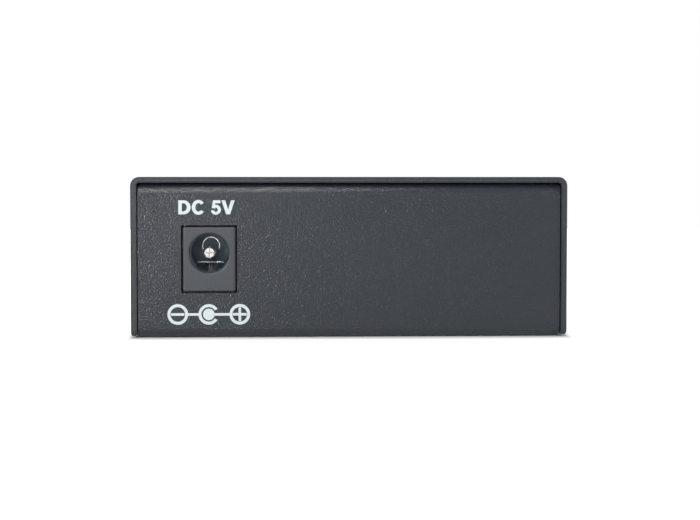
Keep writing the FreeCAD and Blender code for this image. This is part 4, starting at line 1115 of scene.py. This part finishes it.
class CONVERTER_OT_set_stage(Operator):
    """Makes the floor, the backdrop, the lights and the camera"""

    bl_idname = "converter.set_stage"
    bl_label = "Set the stage"

    def execute(self, context):
        look = context.scene.converter_stage
        lay_floor(look)
        light_world(look.sky_level)
        for name, place, side, power, share in LIGHTS:
            panel = panel_high if place[1] > 0 else panel_low
            target = Vector((0, panel.y, AIM_HEIGHT))
            add_light(name, place, target, side, getattr(look, power) * share)
        camera = bpy.data.cameras.new("Camera")
        camera.lens = look.lens
        camera.clip_start = 10 * MM
        holder = put("Camera", camera)
        level = -math.cos(look.pitch)
        forward = Vector(
            (math.sin(look.yaw) * level, math.cos(look.yaw) * level, -math.sin(look.pitch))
        )
        holder.location = (look.camera_side, panel_high.y + look.distance, look.camera_rise)
        holder.rotation_euler = forward.to_track_quat("-Z", "Y").to_euler()
        bpy.context.scene.camera = holder
        bpy.context.scene.view_settings.view_transform = "Standard"
        return {"FINISHED"}


def add_light(name, place, target, side, power):
    """A square soft light that faces a point."""
    light = bpy.data.lights.new(name, "AREA")
    light.size = side
    light.energy = power
    holder = put(name, light)
    holder.location = place
    holder.rotation_euler = (target - Vector(place)).to_track_quat("-Z", "Y").to_euler()
    holder.visible_camera = False


def seen_share(tree):
    """1 for what the camera sees, straight or through resin, and 0 for what lights the object."""
    path = add_node(tree, "ShaderNodeLightPath")
    total = Wire(tree, path.outputs["Is Camera Ray"]) + path.outputs["Is Transmission Ray"]
    return total.reckon("MINIMUM", total, 1.0)


def light_world(level):
    """A white world, at a plain level as light and full white where it is seen."""
    world = bpy.data.worlds.new("Studio")
    world.use_nodes = True
    tree = world.node_tree
    background = tree.nodes["Background"]
    join(tree, (1.0, 1.0, 1.0, 1.0), background.inputs["Color"])
    join(tree, seen_share(tree) * (1 - level) + level, background.inputs["Strength"])
    bpy.context.scene.world = world


def lay_floor(look):
    """A white floor that keeps the object's shadow near it, and bleaches further away."""
    half, sunk, narrower, brightest = 0.6, 0.02 * MM, 5.0, 0.8
    mesh = bpy.data.meshes.new("floor")
    corners = [(-half, -half, -sunk), (half, -half, -sunk), (half, half, -sunk), (-half, half, -sunk)]
    mesh.from_pydata(corners, [], [(0, 1, 2, 3)])
    floor = put("floor", mesh)
    finish = Finish("Floor", (look.floor_tone,) * 3, 0.9)
    tree = finish.tree
    beside = abs(finish.axis("X")) - float(cad_box[1][0])
    before = abs(finish.axis("Y")) - float(cad_box[1][1])
    away = before.reckon("MAXIMUM", beside * narrower, before)
    strength = seen_share(tree) * finish.between(away, 0.0, look.shadow_reach, 0.0, brightest)
    glow = finish.node("ShaderNodeEmission", None, {"Color": (1, 1, 1, 1), "Strength": strength})
    both = finish.node("ShaderNodeAddShader", None, {0: finish.shader.outputs[0], 1: glow.outputs[0]})
    tree.links.new(both.outputs[0], tree.nodes["Material Output"].inputs["Surface"])
    mesh.materials.append(finish.material)


# ---- Panel ----

STEPS = (
    CONVERTER_OT_set_stage,
    CONVERTER_OT_coat_case,
    CONVERTER_OT_print_marks,
    CONVERTER_OT_finish_power_socket,
    CONVERTER_OT_finish_network_socket,
    CONVERTER_OT_finish_fibre_ports,
    CONVERTER_OT_finish_lamps,
    CONVERTER_OT_fit_screws,
    CONVERTER_OT_finish_board,
)


class CONVERTER_PT_steps(Panel):
    """Lists what makes the converter"""

    bl_idname = "CONVERTER_PT_steps"
    bl_label = "Fibre media converter"
    bl_space_type = "VIEW_3D"
    bl_region_type = "UI"
    bl_category = "Converter"

    def draw(self, context):
        for step in STEPS:
            self.layout.operator(step.bl_idname)
        for group in LOOKS:
            look = getattr(context.scene, group)
            for name in look.__annotations__:
                self.layout.prop(look, name)


LOOKS = {
    "converter_case": CaseLook,
    "converter_marks": MarkSizes,
    "converter_screws": ScrewSizes,
    "converter_board": BoardSizes,
    "converter_stage": StageLook,
}


def register():
    for kind in (*LOOKS.values(), *STEPS, CONVERTER_PT_steps):
        bpy.utils.register_class(kind)
    for name, look in LOOKS.items():
        setattr(bpy.types.Scene, name, PointerProperty(type=look))


def unregister():
    for name in LOOKS:
        delattr(bpy.types.Scene, name)
    for kind in reversed((*LOOKS.values(), *STEPS, CONVERTER_PT_steps)):
        bpy.utils.unregister_class(kind)


def main():
    """Makes everything."""
    register()
    for step in STEPS:
        group, name = step.bl_idname.split(".")
        getattr(getattr(bpy.ops, group), name)()


if __name__ == "__main__":
    main()
